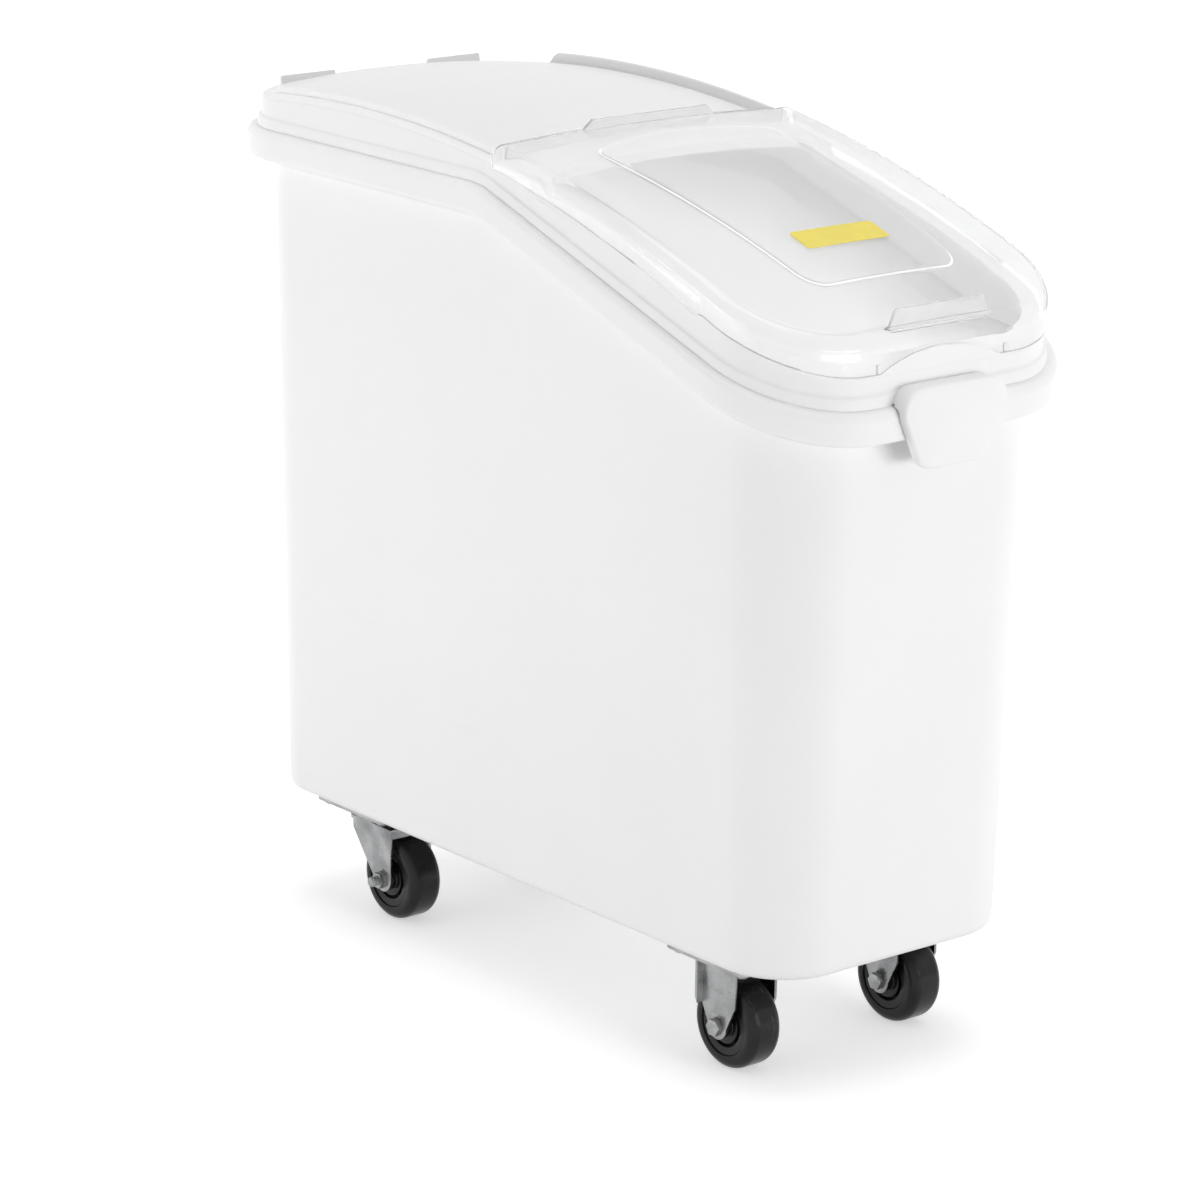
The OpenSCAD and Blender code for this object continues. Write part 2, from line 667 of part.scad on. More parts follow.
// Small stop blocks at the ends of the arched cut
nib_w = 5;
nib_h = 8;
nib_t = 1.5;
module nibs() {
    for (s = [-1, 1])
        translate([lid_front_x - plate_t / 2, s * (arch_w / 2 + nib_w / 2) - nib_w / 2, skirt_front_z + cut])
            cube([plate_t / 2 + nib_t, nib_w, nib_h]);
}
module sliding_lid() {
    color(clear)
        union() {
            difference() {
                loft(lid_rings, "bridge");
                translate([lid_rear_x - 2 * lid_tail, -overall_w, 0])
                    cube([2 * lid_tail, 2 * overall_w, 2 * overall_h]);
                arch_disc(lid_front_x - shoulder_r, 2 * shoulder_r, arch_cut_r);
            }
            front_lip();
            rear_lip();
            nibs();
        }
}

module blank_label() {
    x1 = lid_front_x - label_fore;
    color(yellow)
        arch_sweep(x1 - label_l * cos(asin((x1 - arch_x) / lid_top_r)), x1, lid_top_r)
            polygon(crown_strip(label_w / 2, panel_h + run_gap, panel_h + run_gap + label_t));
}

// Casters: one set of shapes, placed by the side and the end
tread_seat_r = 26;
core_web_t = 14;
hub_r = 10;
hub_play = 2;
hub_w = leg_gap - 2 * hub_play;
core_inset = 1.25;
core_w = wheel_w - 2 * core_inset;
disc_r = 16;
ring_r = 19;
groove_lean = 0.5;
sleeve_wall = 3;
sleeve_d = axle_d + 2 * sleeve_wall;
hub_washer_t = 1.5;
hub_washer_d = 19;
thread_over = 7;
nut_h = 6.5;
bolt_head_h = 5.5;
leg_top_z = plate_z + plate_th / 2;
hex_d = axle_flats / cos(30);
leg_out = leg_gap / 2 + leg_t;

// Turns a shape's own axis from Z to Y
module along_y() {
    rotate([-90, 0, 0])
        children();
}
module at_wheel(x, side) {
    translate([x, side * side_y, axle_z])
        along_y()
            children();
}
module tread(x, side) {
    color(black)
        at_wheel(x, side)
            rotate_extrude()
                difference() {
                    union() {
                        translate([0, -wheel_w / 2 + tread_r])
                            square([axle_z, wheel_w - 2 * tread_r]);
                        translate([0, -wheel_w / 2])
                            square([axle_z - tread_r, wheel_w]);
                        for (s = [-1, 1])
                            translate([axle_z - tread_r, s * (wheel_w / 2 - tread_r)])
                                circle(tread_r);
                    }
                    translate([-tread_r, -wheel_w])
                        square([tread_seat_r + tread_r, 2 * wheel_w]);
                }
}
core_half = [
    [sleeve_d / 2 + run_gap, -hub_w / 2], [hub_r, -hub_w / 2], [hub_r + groove_lean, -core_w / 2],
    [disc_r, -core_w / 2], [disc_r + groove_lean, -core_web_t / 2], [ring_r - groove_lean, -core_web_t / 2],
    [ring_r, -core_w / 2], [tread_seat_r, -core_w / 2]];
module wheel_core(x, side) {
    color(black)
        at_wheel(x, side)
            rotate_extrude()
                polygon(concat(core_half, [for (k = [len(core_half) - 1 : -1 : 0]) [core_half[k][0], -core_half[k][1]]]));
}
module axle_sleeve(x, side) {
    color(zinc)
        at_wheel(x, side)
            difference() {
                cylinder(h = leg_gap, d = sleeve_d, center = true);
                cylinder(h = leg_gap + 2 * cut, d = axle_d + 2 * run_gap, center = true);
            }
}
module hub_washers(x, side) {
    color(zinc)
        at_wheel(x, side)
            for (s = [-1, 1])
                translate([0, 0, s * (hub_w / 2 + hub_washer_t / 2 + face_gap)])
                    difference() {
                        cylinder(h = hub_washer_t, d = hub_washer_d, center = true);
                        cylinder(h = hub_washer_t + 2 * cut, d = sleeve_d + 2 * run_gap, center = true);
                    }
}
// turn is 1 where the bolt's head faces the left, and -1 where it faces the right
module axle_bolt(x, side, turn) {
    color(zinc)
        at_wheel(x, side)
            mirror([0, 0, turn > 0 ? 0 : 1])
                translate([0, 0, leg_out]) {
                    cylinder(h = bolt_head_h, d = hex_d, $fn = 6);
                    translate([0, 0, -2 * leg_out - nut_h - thread_over])
                        cylinder(h = 2 * leg_out + nut_h + thread_over, d = axle_d);
                }
}
module axle_nut(x, side, turn) {
    color(zinc)
        at_wheel(x, side)
            mirror([0, 0, turn > 0 ? 0 : 1])
                translate([0, 0, -leg_out - nut_h])
                    difference() {
                        cylinder(h = nut_h, d = hex_d, $fn = 6);
                        translate([0, 0, -cut])
                            cylinder(h = nut_h + 2 * cut, d = axle_d + 2 * fit_gap);
                    }
}

plate_corner_r = 8;
module plate_blank(x, side) {
    c = [plate_l / 2 - plate_corner_r, plate_w / 2 - plate_corner_r];
    translate([x, side * side_y, plate_z])
        linear_extrude(plate_th)
            difference() {
                round_outline([[-c[0], -c[1]], [c[0], -c[1]], [c[0], c[1]], [-c[0], c[1]]], plate_corner_r);
                for (sx = [-1, 1], sy = [-1, 1])
                    translate([sx * bolt_l / 2, sy * bolt_w / 2])
                        circle(d = screw_d + 2 * face_gap);
            }
}

// Front fork: a plate with two straight legs, each with its rear edge turned outward
flange_d = 6;
flange_out = leg_out + flange_d;
axle_hole_d = axle_d + 2 * run_gap;
module leg_section(half) {
    polygon([[-half, leg_gap / 2], [half, leg_gap / 2], [half, leg_out],
        [leg_t - half, leg_out], [leg_t - half, flange_out], [-half, flange_out]]);
}
module front_fork(side) {
    half = leg_w / 2;
    taper_z = axle_z + 2 * leg_foot_r;
    color(zinc)
        difference() {
            union() {
                plate_blank(front_x, side);
                intersection() {
                    translate([front_x, side * side_y, 0])
                        for (s = [0, 1])
                            mirror([0, s, 0])
                                linear_extrude(leg_top_z)
                                    leg_section(half);
                    translate([front_x, side * side_y + flange_out + cut, 0])
                        rotate([90, 0, 0])
                            linear_extrude(2 * flange_out + 2 * cut) {
                                translate([-half - cut, taper_z])
                                    square([leg_w + 2 * cut, leg_top_z]);
                                translate([0, axle_z])
                                    circle(leg_foot_r);
                                polygon([[-leg_foot_r, axle_z], [leg_foot_r, axle_z],
                                    [half + cut, taper_z + cut], [-half - cut, taper_z + cut]]);
                            }
                }
            }
            at_wheel(front_x, side)
                cylinder(h = 4 * leg_out, d = axle_hole_d, center = true);
        }
}

// Rear casters: a fixed plate with a ball race, and a trailing fork under it
race_r = 20;
race_w = 9;
race_drop = 5;
crown_t = 3;
crown_z = plate_z - race_drop - ball_d;
ball_z = plate_z - race_drop;
groove_d = ball_d + 2 * run_gap;
module race_groove(z) {
    translate([0, 0, z])
        rotate_extrude()
            translate([race_r, 0])
                circle(d = groove_d);
}
module top_plate(side) {
    at = [rear_pin_x, side * side_y, 0];
    color(zinc)
        difference() {
            union() {
                plate_blank(rear_pin_x, side);
                translate(at + [0, 0, ball_z + seat_gap])
                    cylinder(h = plate_z + plate_th / 2 - ball_z - seat_gap, r = race_r + race_w / 2);
            }
            translate(at)
                race_groove(ball_z);
            translate(at + [0, 0, ball_z - cut])
                cylinder(h = plate_z + plate_th - ball_z + 2 * cut, d = pin_d);
        }
}
pin_head_d = 20;
pin_head_h = 3;
module swivel_pin(side) {
    low = crown_z - crown_t - face_gap;
    color(zinc)
        translate([rear_pin_x, side * side_y, 0]) {
            translate([0, 0, low])
                cylinder(h = plate_z + plate_th - low, d = pin_d);
            translate([0, 0, low - pin_head_h])
                cylinder(h = pin_head_h, d = pin_head_d);
        }
}
module race_balls(side) {
    color(zinc)
        translate([rear_pin_x, side * side_y, ball_z])
            for (k = [0 : ball_count - 1])
                rotate([0, 0, 360 * k / ball_count])
                    translate([race_r, 0, 0])
                        sphere(d = ball_d, $fn = 32);
}
fork_nose = 25;
fork_crown_r = 10;
crown_lip_d = 9;
module rear_fork(side) {
    at = [rear_pin_x, side * side_y, 0];
    front = lead + leg_foot_r;
    crown_c = [[fork_crown_r - fork_nose, fork_crown_r - leg_out], [front - leg_t, fork_crown_r - leg_out],
        [front - leg_t, leg_out - fork_crown_r], [fork_crown_r - fork_nose, leg_out - fork_crown_r]];
    race_top = ball_z - seat_gap;
    color(zinc)
        difference() {
            union() {
                translate(at + [0, 0, crown_z - crown_t])
                    linear_extrude(crown_t)
                        intersection() {
                            round_outline(crown_c, fork_crown_r);
                            translate([-fork_nose, -leg_out])
                                square([fork_nose + front, 2 * leg_out]);
                        }
                translate(at + [0, 0, crown_z - crown_t / 2])
                    cylinder(h = race_top - crown_z + crown_t / 2, r = race_r + race_w / 2);
                translate(at + [front - leg_t, -leg_out + leg_t / 2, crown_z - crown_lip_d])
                    cube([leg_t, 2 * leg_out - leg_t, crown_lip_d - crown_t / 2]);
                for (s = [-1, 1])
                    translate(at + [0, s * (leg_out - leg_t / 2) + leg_t / 2, 0])
                        rotate([90, 0, 0])
                            linear_extrude(leg_t) {
                                translate([lead, axle_z])
                                    circle(leg_foot_r);
                                polygon([
                                    [front, axle_z], [front, crown_z], [fork_crown_r - fork_nose, crown_z],
                                    [fork_crown_r - fork_nose, crown_z - fork_crown_r],
                                    [lead - leg_foot_r * cos(20), axle_z - leg_foot_r * sin(20)]]);
                            }
            }
            translate(at)
                race_groove(ball_z);
            translate(at + [0, 0, crown_z - crown_t - cut])
                cylinder(h = race_top - crown_z + crown_t + 2 * cut, d = pin_d + 2 * run_gap);
            at_wheel(rear_axle_x, side)
                cylinder(h = 4 * leg_out, d = axle_hole_d, center = true);
        }
}

tub();
threaded_inserts();
plate_screws();
plate_washers();
lid_frame();
sliding_lid();
blank_label();
front_fork(left);  // front_left_fork
tread(front_x, left);  // front_left_tread
wheel_core(front_x, left);  // front_left_wheel_core
axle_sleeve(front_x, left);  // front_left_axle_sleeve
hub_washers(front_x, left);  // front_left_hub_washers
axle_bolt(front_x, left, right);  // front_left_axle_bolt
axle_nut(front_x, left, right);  // front_left_axle_nut
front_fork(right);  // front_right_fork
tread(front_x, right);  // front_right_tread
wheel_core(front_x, right);  // front_right_wheel_core
axle_sleeve(front_x, right);  // front_right_axle_sleeve
hub_washers(front_x, right);  // front_right_hub_washers
axle_bolt(front_x, right, right);  // front_right_axle_bolt
axle_nut(front_x, right, right);  // front_right_axle_nut
top_plate(left);  // rear_left_top_plate
swivel_pin(left);  // rear_left_swivel_pin
race_balls(left);  // rear_left_race_balls
rear_fork(left);  // rear_left_fork
tread(rear_axle_x, left);  // rear_left_tread
wheel_core(rear_axle_x, left);  // rear_left_wheel_core
axle_sleeve(rear_axle_x, left);  // rear_left_axle_sleeve
hub_washers(rear_axle_x, left);  // rear_left_hub_washers
axle_bolt(rear_axle_x, left, left);  // rear_left_axle_bolt
axle_nut(rear_axle_x, left, left);  // rear_left_axle_nut
top_plate(right);  // rear_right_top_plate
swivel_pin(right);  // rear_right_swivel_pin
race_balls(right);  // rear_right_race_balls
rear_fork(right);  // rear_right_fork
tread(rear_axle_x, right);  // rear_right_tread
wheel_core(rear_axle_x, right);  // rear_right_wheel_core
axle_sleeve(rear_axle_x, right);  // rear_right_axle_sleeve
hub_washers(rear_axle_x, right);  // rear_right_hub_washers
axle_bolt(rear_axle_x, right, left);  // rear_right_axle_bolt
axle_nut(rear_axle_x, right, left);  // rear_right_axle_nut
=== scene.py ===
"""Rolling flour bin: a white tub on casters, with an arched lid frame and a clear sliding lid."""
import json
import logging
import math
from dataclasses import dataclass, field, replace
from enum import Enum
from typing import Callable, Mapping, Sequence

import bmesh
import bpy
from mathutils import Matrix, Vector

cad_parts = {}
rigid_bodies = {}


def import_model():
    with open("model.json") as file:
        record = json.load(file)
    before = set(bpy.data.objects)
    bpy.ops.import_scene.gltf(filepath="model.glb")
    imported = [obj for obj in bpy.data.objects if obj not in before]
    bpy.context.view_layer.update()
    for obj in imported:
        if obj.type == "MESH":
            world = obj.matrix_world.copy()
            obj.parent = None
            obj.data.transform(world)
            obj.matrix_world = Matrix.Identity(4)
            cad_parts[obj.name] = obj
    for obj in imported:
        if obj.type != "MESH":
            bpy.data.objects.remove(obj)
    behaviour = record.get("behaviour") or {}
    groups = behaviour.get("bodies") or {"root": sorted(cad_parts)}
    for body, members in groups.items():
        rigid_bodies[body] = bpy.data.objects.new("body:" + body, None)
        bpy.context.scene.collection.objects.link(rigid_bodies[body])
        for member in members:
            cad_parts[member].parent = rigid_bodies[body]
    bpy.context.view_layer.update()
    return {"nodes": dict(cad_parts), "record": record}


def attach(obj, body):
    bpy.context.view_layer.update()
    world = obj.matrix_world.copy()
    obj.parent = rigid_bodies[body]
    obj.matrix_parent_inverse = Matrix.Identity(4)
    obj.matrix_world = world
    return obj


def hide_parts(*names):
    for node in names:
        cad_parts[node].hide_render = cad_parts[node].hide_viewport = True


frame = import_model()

LOG = logging.getLogger("flour_bin")
MM = 0.001
CREASE = 32.0
PAINTED_INNER_GLOW = "daylight"
PAINTED_EDGE_HIGHLIGHT = "edge_light"

Spot = tuple[float, float]
Point = tuple[float, float, float]
Ring = list[Point]
Stop = tuple[float, float, float, float]
Line = list[Stop]
Colour = tuple[float, float, float, float]
Sockets = Mapping[str | int, object]
Tree, Node, Socket = bpy.types.NodeTree, bpy.types.Node, bpy.types.NodeSocket
Piece, Material = bpy.types.Object, bpy.types.Material


class End(Enum):
    """How the two ends of a loft are closed."""

    FAN = "fan"
    BRIDGE = "bridge"
    LOOP = "loop"


class Solid(Enum):
    """How a second solid changes a first one."""

    JOIN = "UNION"
    CUT = "DIFFERENCE"


class Side(Enum):
    """The side of the bin that a caster stands on, as the sign of its place across the bin."""

    LEFT = 1
    RIGHT = -1


# Shared shape rules


@dataclass(frozen=True)
class BinForm:
    """Sizes in millimetres, and the curves that the tub, the lid frame and the sliding lid share."""

    length: float = 755.0
    width: float = 340.0
    height: float = 735.0
    grip_reach: float = 8.0
    rim_down: float = 44.5
    rim_fall: float = 128.0
    bend_share: float = 0.48344
    bend_soft: float = 12.0
    rim_over: float = 24.0
    rim_edge_r: float = 6.0
    front_r: float = 71.0
    rear_r: float = 58.0
    band_in: float = 8.5
    band_step: float = 3.5
    arch_fall: float = 120.4
    arch_share: float = 0.24636
    crown_r: float = 1285.0
    rail_h: float = 9.0
    rail_w: float = 4.5
    ledge_w: float = 5.0
    deck_drop: float = 19.6
    deck_ramp: float = 15.0
    cover_fore: float = 57.0
    lid_rise: float = 10.0
    lid_share: float = 0.50331
    rear_lip_h: float = 7.0
    front_proud: float = 1.5
    tongue_w: float = 128.0
    tongue_h: float = 16.0
    rest_gap: float = 0.5
    caster_h: float = 99.0
    end_steps: int = 8
    corner_steps: int = 20

    @property
    def rear_x(self) -> float:
        """Rear of the rim."""
        return -self.length / 2

    @property
    def rim_front_x(self) -> float:
        """Front of the rim."""
        return self.length / 2 - self.grip_reach

    @property
    def wall_rear_x(self) -> float:
        """Rear wall at its top."""
        return self.rear_x + self.rim_over

    @property
    def wall_front_x(self) -> float:
        """Front wall at its top."""
        return self.rim_front_x - self.rim_over

    @property
    def wall_half_w(self) -> float:
        """Half the width over the walls at their top."""
        return self.width / 2 - self.rim_over

    @property
    def bend_x(self) -> float:
        """Place where the level rim begins to fall."""
        return self.rear_x + self.bend_share * self.length

    @property
    def arch_x(self) -> float:
        """Middle of the arch along the bin."""
        return self.rear_x + self.arch_share * self.length

    @property
    def cover_x(self) -> float:
        """Front edge of the rear cover."""
        return self.bend_x + self.cover_fore

    @property
    def lid_rear_x(self) -> float:
        """Rear edge of the sliding lid."""
        return self.rear_x + self.lid_share * self.length

    @property
    def face_o(self) -> float:
        """Stand-off of the lid frame's upright face from the wall."""
        return self.rim_over - self.band_in - self.band_step

    @property
    def face_half_w(self) -> float:
        """Half the width over the lid frame's upright faces."""
        return self.wall_half_w + self.face_o

    @property
    def face_front_x(self) -> float:
        """Lid frame's upright face at the front."""
        return self.wall_front_x + self.face_o

    @property
    def face_rear_x(self) -> float:
        """Lid frame's upright face at the rear."""
        return self.wall_rear_x - self.face_o

    @property
    def lid_front_x(self) -> float:
        """Outside of the sliding lid's front skirt."""
        return self.face_front_x + self.front_proud

    @property
    def rim_z(self) -> float:
        """Height of the rim's level rear part."""
        return self.height - self.rim_down

    @property
    def arch_r(self) -> float:
        """Radius of the arch at the top of the rails."""
        run = self.face_front_x - self.arch_x
        return (run * run + self.arch_fall**2) / (2 * self.arch_fall)

    @property
    def lid_top_r(self) -> float:
        """Arch radius at the crown of the sliding lid."""
        return self.arch_r + self.lid_rise

    @property
    def deck_r(self) -> float:
        """Arch radius of the deck round the scooping opening."""
        return self.arch_r - self.deck_drop

    @property
    def rail_out(self) -> float:
        """Outer side of a rail."""
        return self.face_half_w - self.ledge_w

    @property
    def rail_in(self) -> float:
        """Inner side of a rail."""
        return self.rail_out - self.rail_w

    @property
    def arch_z(self) -> float:
        """Height of the line that the arch turns about."""
        lean = math.asin((self.lid_rear_x - self.arch_x) / self.lid_top_r)
        return self.height - (self.lid_top_r + self.rear_lip_h) * math.cos(lean)

    @property
    def skirt_z(self) -> float:
        """Height of the lower edge of the lid's front skirt."""
        return self.arc(self.lid_front_x, self.deck_r + self.rest_gap)

    def seam(self, x: float) -> float:
        """Height of the top of the rim at x."""
        u, soft = x - self.bend_x, self.bend_soft
        run = 0.0 if u < -soft else u if u > soft else (u + soft) ** 2 / (4 * soft)
        return self.rim_z - self.rim_fall / (self.rim_front_x - self.bend_x) * run

    def arc(self, x: float, r: float) -> float:
        """Height at x of the arch of radius r."""
        return self.arch_z + math.sqrt(r * r - (x - self.arch_x) ** 2)

    def on_arch(self, x: float, y: float, r: float) -> Point:
        """Point at radius r of the arch, on the radial line that meets the lid's crown at x."""
        lean = math.asin((x - self.arch_x) / self.lid_top_r)
        return (self.arch_x + r * math.sin(lean), y, self.arch_z + r * math.cos(lean))

    def crown(self, y: float) -> float:
        """Arch radius of the rear cover at y across the bin."""
        return self.arch_r - self.rail_h + (self.rail_in**2 - y * y) / (2 * self.crown_r)

    def top_r(self, x: float, y: float) -> float:
        """Arch radius of the lid frame's top, from the cover down a short ramp to the deck."""
        t = ease((x - self.cover_x) / self.deck_ramp)
        return self.crown(y) + (self.deck_r - self.crown(y)) * t

    def bend_stops(self) -> list[float]:
        """Close stops along the rim's bend, front to rear."""
        return [self.bend_x + self.bend_soft * k / 4 for k in range(8, -9, -1)]

    def wall_line(self, stops: Sequence[float]) -> Line:
        """Outline of the walls at their top, with stops along the sides."""
        ends, radii = (self.wall_rear_x, self.wall_front_x), (self.rear_r, self.front_r)
        counts = (self.end_steps, self.end_steps, self.corner_steps)
        return plan_line(*ends, self.wall_half_w, *radii, stops, *counts)

    def seam_ring(self, line: Line, o: float, dz: float) -> Ring:
        """Ring that follows the rim, o outside the wall and dz above it."""
        return [(x, y, self.seam(x) + dz) for x, y in moved(line, o)]


def ease(t: float) -> float:
    """Smooth step from 0 to 1."""
    u = max(0.0, min(1.0, t))
    return u * u * (3 - 2 * u)


def spread(start: float, stop: float, count: int) -> list[float]:
    """Evenly spaced values strictly between two ends."""
    return [start + (stop - start) * k / (count + 1) for k in range(1, count + 1)]


def metres(place: Sequence[float]) -> tuple[float, ...]:
    """A place in metres, from millimetres."""
    return tuple(v * MM for v in place)


def bow_radius(width: float, height: float) -> float:
    """Radius of the bow with this width and height."""
    return (width**2 / 4 + height**2) / (2 * height)


def arc_points(centre: Spot, r: float, start: float, stop: float, steps: int = 8) -> list[Spot]:
    """Points of an arc in a profile.

    Args:
        centre: Middle of the arc.
        r: Radius.
        start: First angle in degrees.
        stop: Last angle in degrees.
        steps: Number of pieces that the arc is cut into.

    Returns:
        The points, both ends included.
    """
    angles = [math.radians(start + (stop - start) * k / steps) for k in range(steps + 1)]
    return [(centre[0] + r * math.cos(a), centre[1] + r * math.sin(a)) for a in angles]


def plan_line(
    rear: float, front: float, half_w: float, r_rear: float, r_front: float, stops: Sequence[float],
    ends: int, backs: int, corner: int,
) -> Line:
    """Rounded outline in plan, from the front middle round the left side and back along the right.

    Args:
        rear: Rear edge.
        front: Front edge.
        half_w: Half the width.
        r_rear: Rear corner radius.
        r_front: Front corner radius.
        stops: Places along the straight sides, front to rear.
        ends: Points from the front middle to the front corner.
        backs: Points from the rear corner to the rear middle.
        corner: Steps in each corner.

    Returns:
        Places with their outward normals.
    """
    half: Line = [(front, (half_w - r_front) * k / ends, 1.0, 0.0) for k in range(ends)]
    turns = [math.pi / 2 * k / corner for k in range(corner + 1)]
    for c, s in ((math.cos(a), math.sin(a)) for a in turns):
        half.append((front - r_front * (1 - c), half_w - r_front * (1 - s), c, s))
    half += [(x, half_w, 0.0, 1.0) for x in stops]
    for c, s in ((math.cos(a + math.pi / 2), math.sin(a + math.pi / 2)) for a in turns):
        half.append((rear + r_rear * (1 + c), half_w - r_rear * (1 - s), c, s))
    half += [(rear, (half_w - r_rear) * (1 - k / backs), -1.0, 0.0) for k in range(1, backs + 1)]
    return half + [(x, -y, nx, -ny) for x, y, nx, ny in half[-2:0:-1]]


def moved(line: Line, o: float) -> list[Spot]:
    """Places of an outline moved outward by o."""
    return [(x + o * nx, y + o * ny) for x, y, nx, ny in line]


def between(a: Sequence[Spot], b: Sequence[Spot], t: float) -> list[Spot]:
    """Places a share t of the way from one outline to another."""
    return [(p[0] + (q[0] - p[0]) * t, p[1] + (q[1] - p[1]) * t) for p, q in zip(a, b)]


def turned_rings(section: Sequence[Spot], steps: int, x: float = 0.0, y: float = 0.0) -> list[Ring]:
    """Rings of a round piece about an upright line, from radii and heights."""
    turns = [2 * math.pi * k / steps for k in range(steps)]
    return [[(x + r * math.cos(t), y + r * math.sin(t), z) for t in turns] for r, z in section]


def rounded_outline(centres: Sequence[Spot], r: float, steps: int = 8) -> Line:
    """Convex outline with round corners.

    Args:
        centres: Middles of the corners, anticlockwise.
        r: Corner radius.
        steps: Steps in each corner.

    Returns:
        Places with their outward normals.
    """
    line: Line = []
    n = len(centres)
    for k in range(n):
        a, b, c = centres[k - 1], centres[k], centres[(k + 1) % n]
        start = math.atan2(a[0] - b[0], b[1] - a[1])
        stop = math.atan2(b[0] - c[0], c[1] - b[1])
        stop += 2 * math.pi if stop < start else 0.0
        for i in range(steps + 1):
            t = start + (stop - start) * i / steps
            line.append((b[0] + r * math.cos(t), b[1] + r * math.sin(t), math.cos(t), math.sin(t)))
    return line


def rounded_box(mid: float, width: float, low: float, high: float, r: float, steps: int) -> Line:
    """Outline of an upright rectangle with round corners."""
    left, right = mid - width / 2 + r, mid + width / 2 - r
    return rounded_outline([(left, low + r), (right, low + r), (right, high - r), (left, high - r)], r, steps)


# Mesh makers


@dataclass
class Draft:
    """Points in millimetres and faces of a piece that is being put together."""

    points: list[Point] = field(default_factory=list)
    faces: list[tuple[int, ...]] = field(default_factory=list)

    def loft(self, rings: Sequence[Ring], end: End) -> "Draft":
        """Adds the surface through rings of equal counts, outside faces going up.

        Args:
            rings: Rings of points, anticlockwise seen from above.
            end: How the first and last rings are closed.

        Returns:
            This draft.
        """
        base, n, m = len(self.points), len(rings[0]), len(rings)
        for ring in rings:
            self.points += ring
        rows = m if end is End.LOOP else m - 1
        for i in range(rows):
            low, high = base + i * n, base + (i + 1) % m * n
            self.faces += [(low + j, low + (j + 1) % n, high + (j + 1) % n, high + j) for j in range(n)]
        top = base + (m - 1) * n
        if end is End.FAN:
            for start, ring, turn in ((base, rings[0], True), (top, rings[-1], False)):
                mid = len(self.points)
                self.points.append(tuple(sum(p[k] for p in ring) / n for k in range(3)))
                for j in range(n):
                    a, b = start + j, start + (j + 1) % n
                    self.faces.append((b, a, mid) if turn else (a, b, mid))
        if end is End.BRIDGE:
            half = n // 2
            spans = [(0, 1, n - 1), (half - 1, half, half + 1)]
            spans += [(j, j + 1, n - j - 1, n - j) for j in range(1, half - 1)]
            self.faces += [tuple(top + k for k in span) for span in spans]
            self.faces += [tuple(base + k for k in reversed(span)) for span in spans]
        return self

    def slab(
        self, outline: Line, low: float, high: float, edge: float, put: Callable[[float, float, float], Point]
    ) -> "Draft":
        """Adds a plate with round edges.

        Args:
            outline: Places with their outward normals, anticlockwise seen from the high side.
            low: First depth.
            high: Last depth.
            edge: Radius of the rounded edges.
            put: Gives the point for a place in the outline and a depth.

        Returns:
            This draft.
        """
        turns = [math.radians(a) for a in (0, 30, 60, 90)]
        curve = [(edge * (math.sin(a) - 1), edge * (1 - math.cos(a))) for a in turns]
        steps = [(o, low + d) for o, d in curve] + [(o, high - d) for o, d in reversed(curve)]
        rings = [[put(u + o * nu, v + o * nv, w) for u, v, nu, nv in outline] for o, w in steps]
        return self.loft(rings, End.FAN)

    def piece(self, name: str) -> Piece:
        """Makes the Blender object, at the origin."""
        mesh = bpy.data.meshes.new(name)
        mesh.from_pydata([metres(p) for p in self.points], [], self.faces)
        mesh.update()
        obj = new_piece(name, mesh)
        soften(obj)
        return obj


def new_piece(name: str, data: bpy.types.ID) -> Piece:
    """Adds an object with its data to the scene."""
    obj = bpy.data.objects.new(name, data)
    bpy.context.scene.collection.objects.link(obj)
    return obj


def soften(obj: Piece, crease: float = CREASE) -> None:
    """Shades a piece smooth up to the crease angle in degrees."""
    obj.data.shade_smooth()
    obj.data.set_sharp_from_angle(angle=math.radians(crease))


def settle(obj: Piece) -> None:
    """Turns a piece with modifiers into a plain mesh."""
    shape = obj.evaluated_get(bpy.context.evaluated_depsgraph_get())
    mesh = bpy.data.meshes.new_from_object(shape)
    obj.modifiers.clear()
    old, obj.data = obj.data, mesh
    bpy.data.meshes.remove(old)
    mesh.name = obj.name


def work(obj: Piece, second: Draft, solid: Solid) -> None:
    """Joins a second solid to a piece or cuts it away."""
    tool = second.piece("tool")
    change = obj.modifiers.new("work", "BOOLEAN")
    change.operation = solid.value
    change.solver = "EXACT"
    change.object = tool
    settle(obj)
    bpy.data.objects.remove(tool)


def mark_points(obj: Piece, mark: str, values: Sequence[float]) -> None:
    """Keeps a value at each point of a piece for its finish to read."""
    obj.data.attributes.new(mark, "FLOAT", "POINT").data.foreach_set("value", values)


# Nodes


def fill(tree: Tree, node: Node, sockets: Sockets) -> None:
    """Links or sets inputs of a node, by name or place."""
    for key, value in sockets.items():
        if isinstance(value, Socket):
            tree.links.new(value, node.inputs[key])
        else:
            node.inputs[key].default_value = value


def add_node(tree: Tree, kind: str, sockets: Sockets | None = None, **settings: object) -> Node:
    """Adds a node to a tree.

    Args:
        tree: Tree that it goes in.
        kind: Node type.
        sockets: Links or plain values for its inputs, by name or place.
        **settings: The node's own settings, such as its operation.

    Returns:
        The node.
    """
    node = tree.nodes.new(kind)
    for name, value in settings.items():
        setattr(node, name, value)
    fill(tree, node, sockets or {})
    return node


def smooth_range(tree: Tree, value: Socket, low: float, high: float, ends: Spot = (0.0, 1.0)) -> Socket:
    """Stretches low to high over two end values, smoothly."""
    sockets = {"Value": value, "From Min": low, "From Max": high, "To Min": ends[0], "To Max": ends[1]}
    return add_node(tree, "ShaderNodeMapRange", sockets, interpolation_type="SMOOTHSTEP").outputs[0]


def product(tree: Tree, a: Socket, b: Socket) -> Socket:
    """Product of two values."""
    return add_node(tree, "ShaderNodeMath", {0: a, 1: b}, operation="MULTIPLY").outputs[0]


# Geometry Nodes recipes


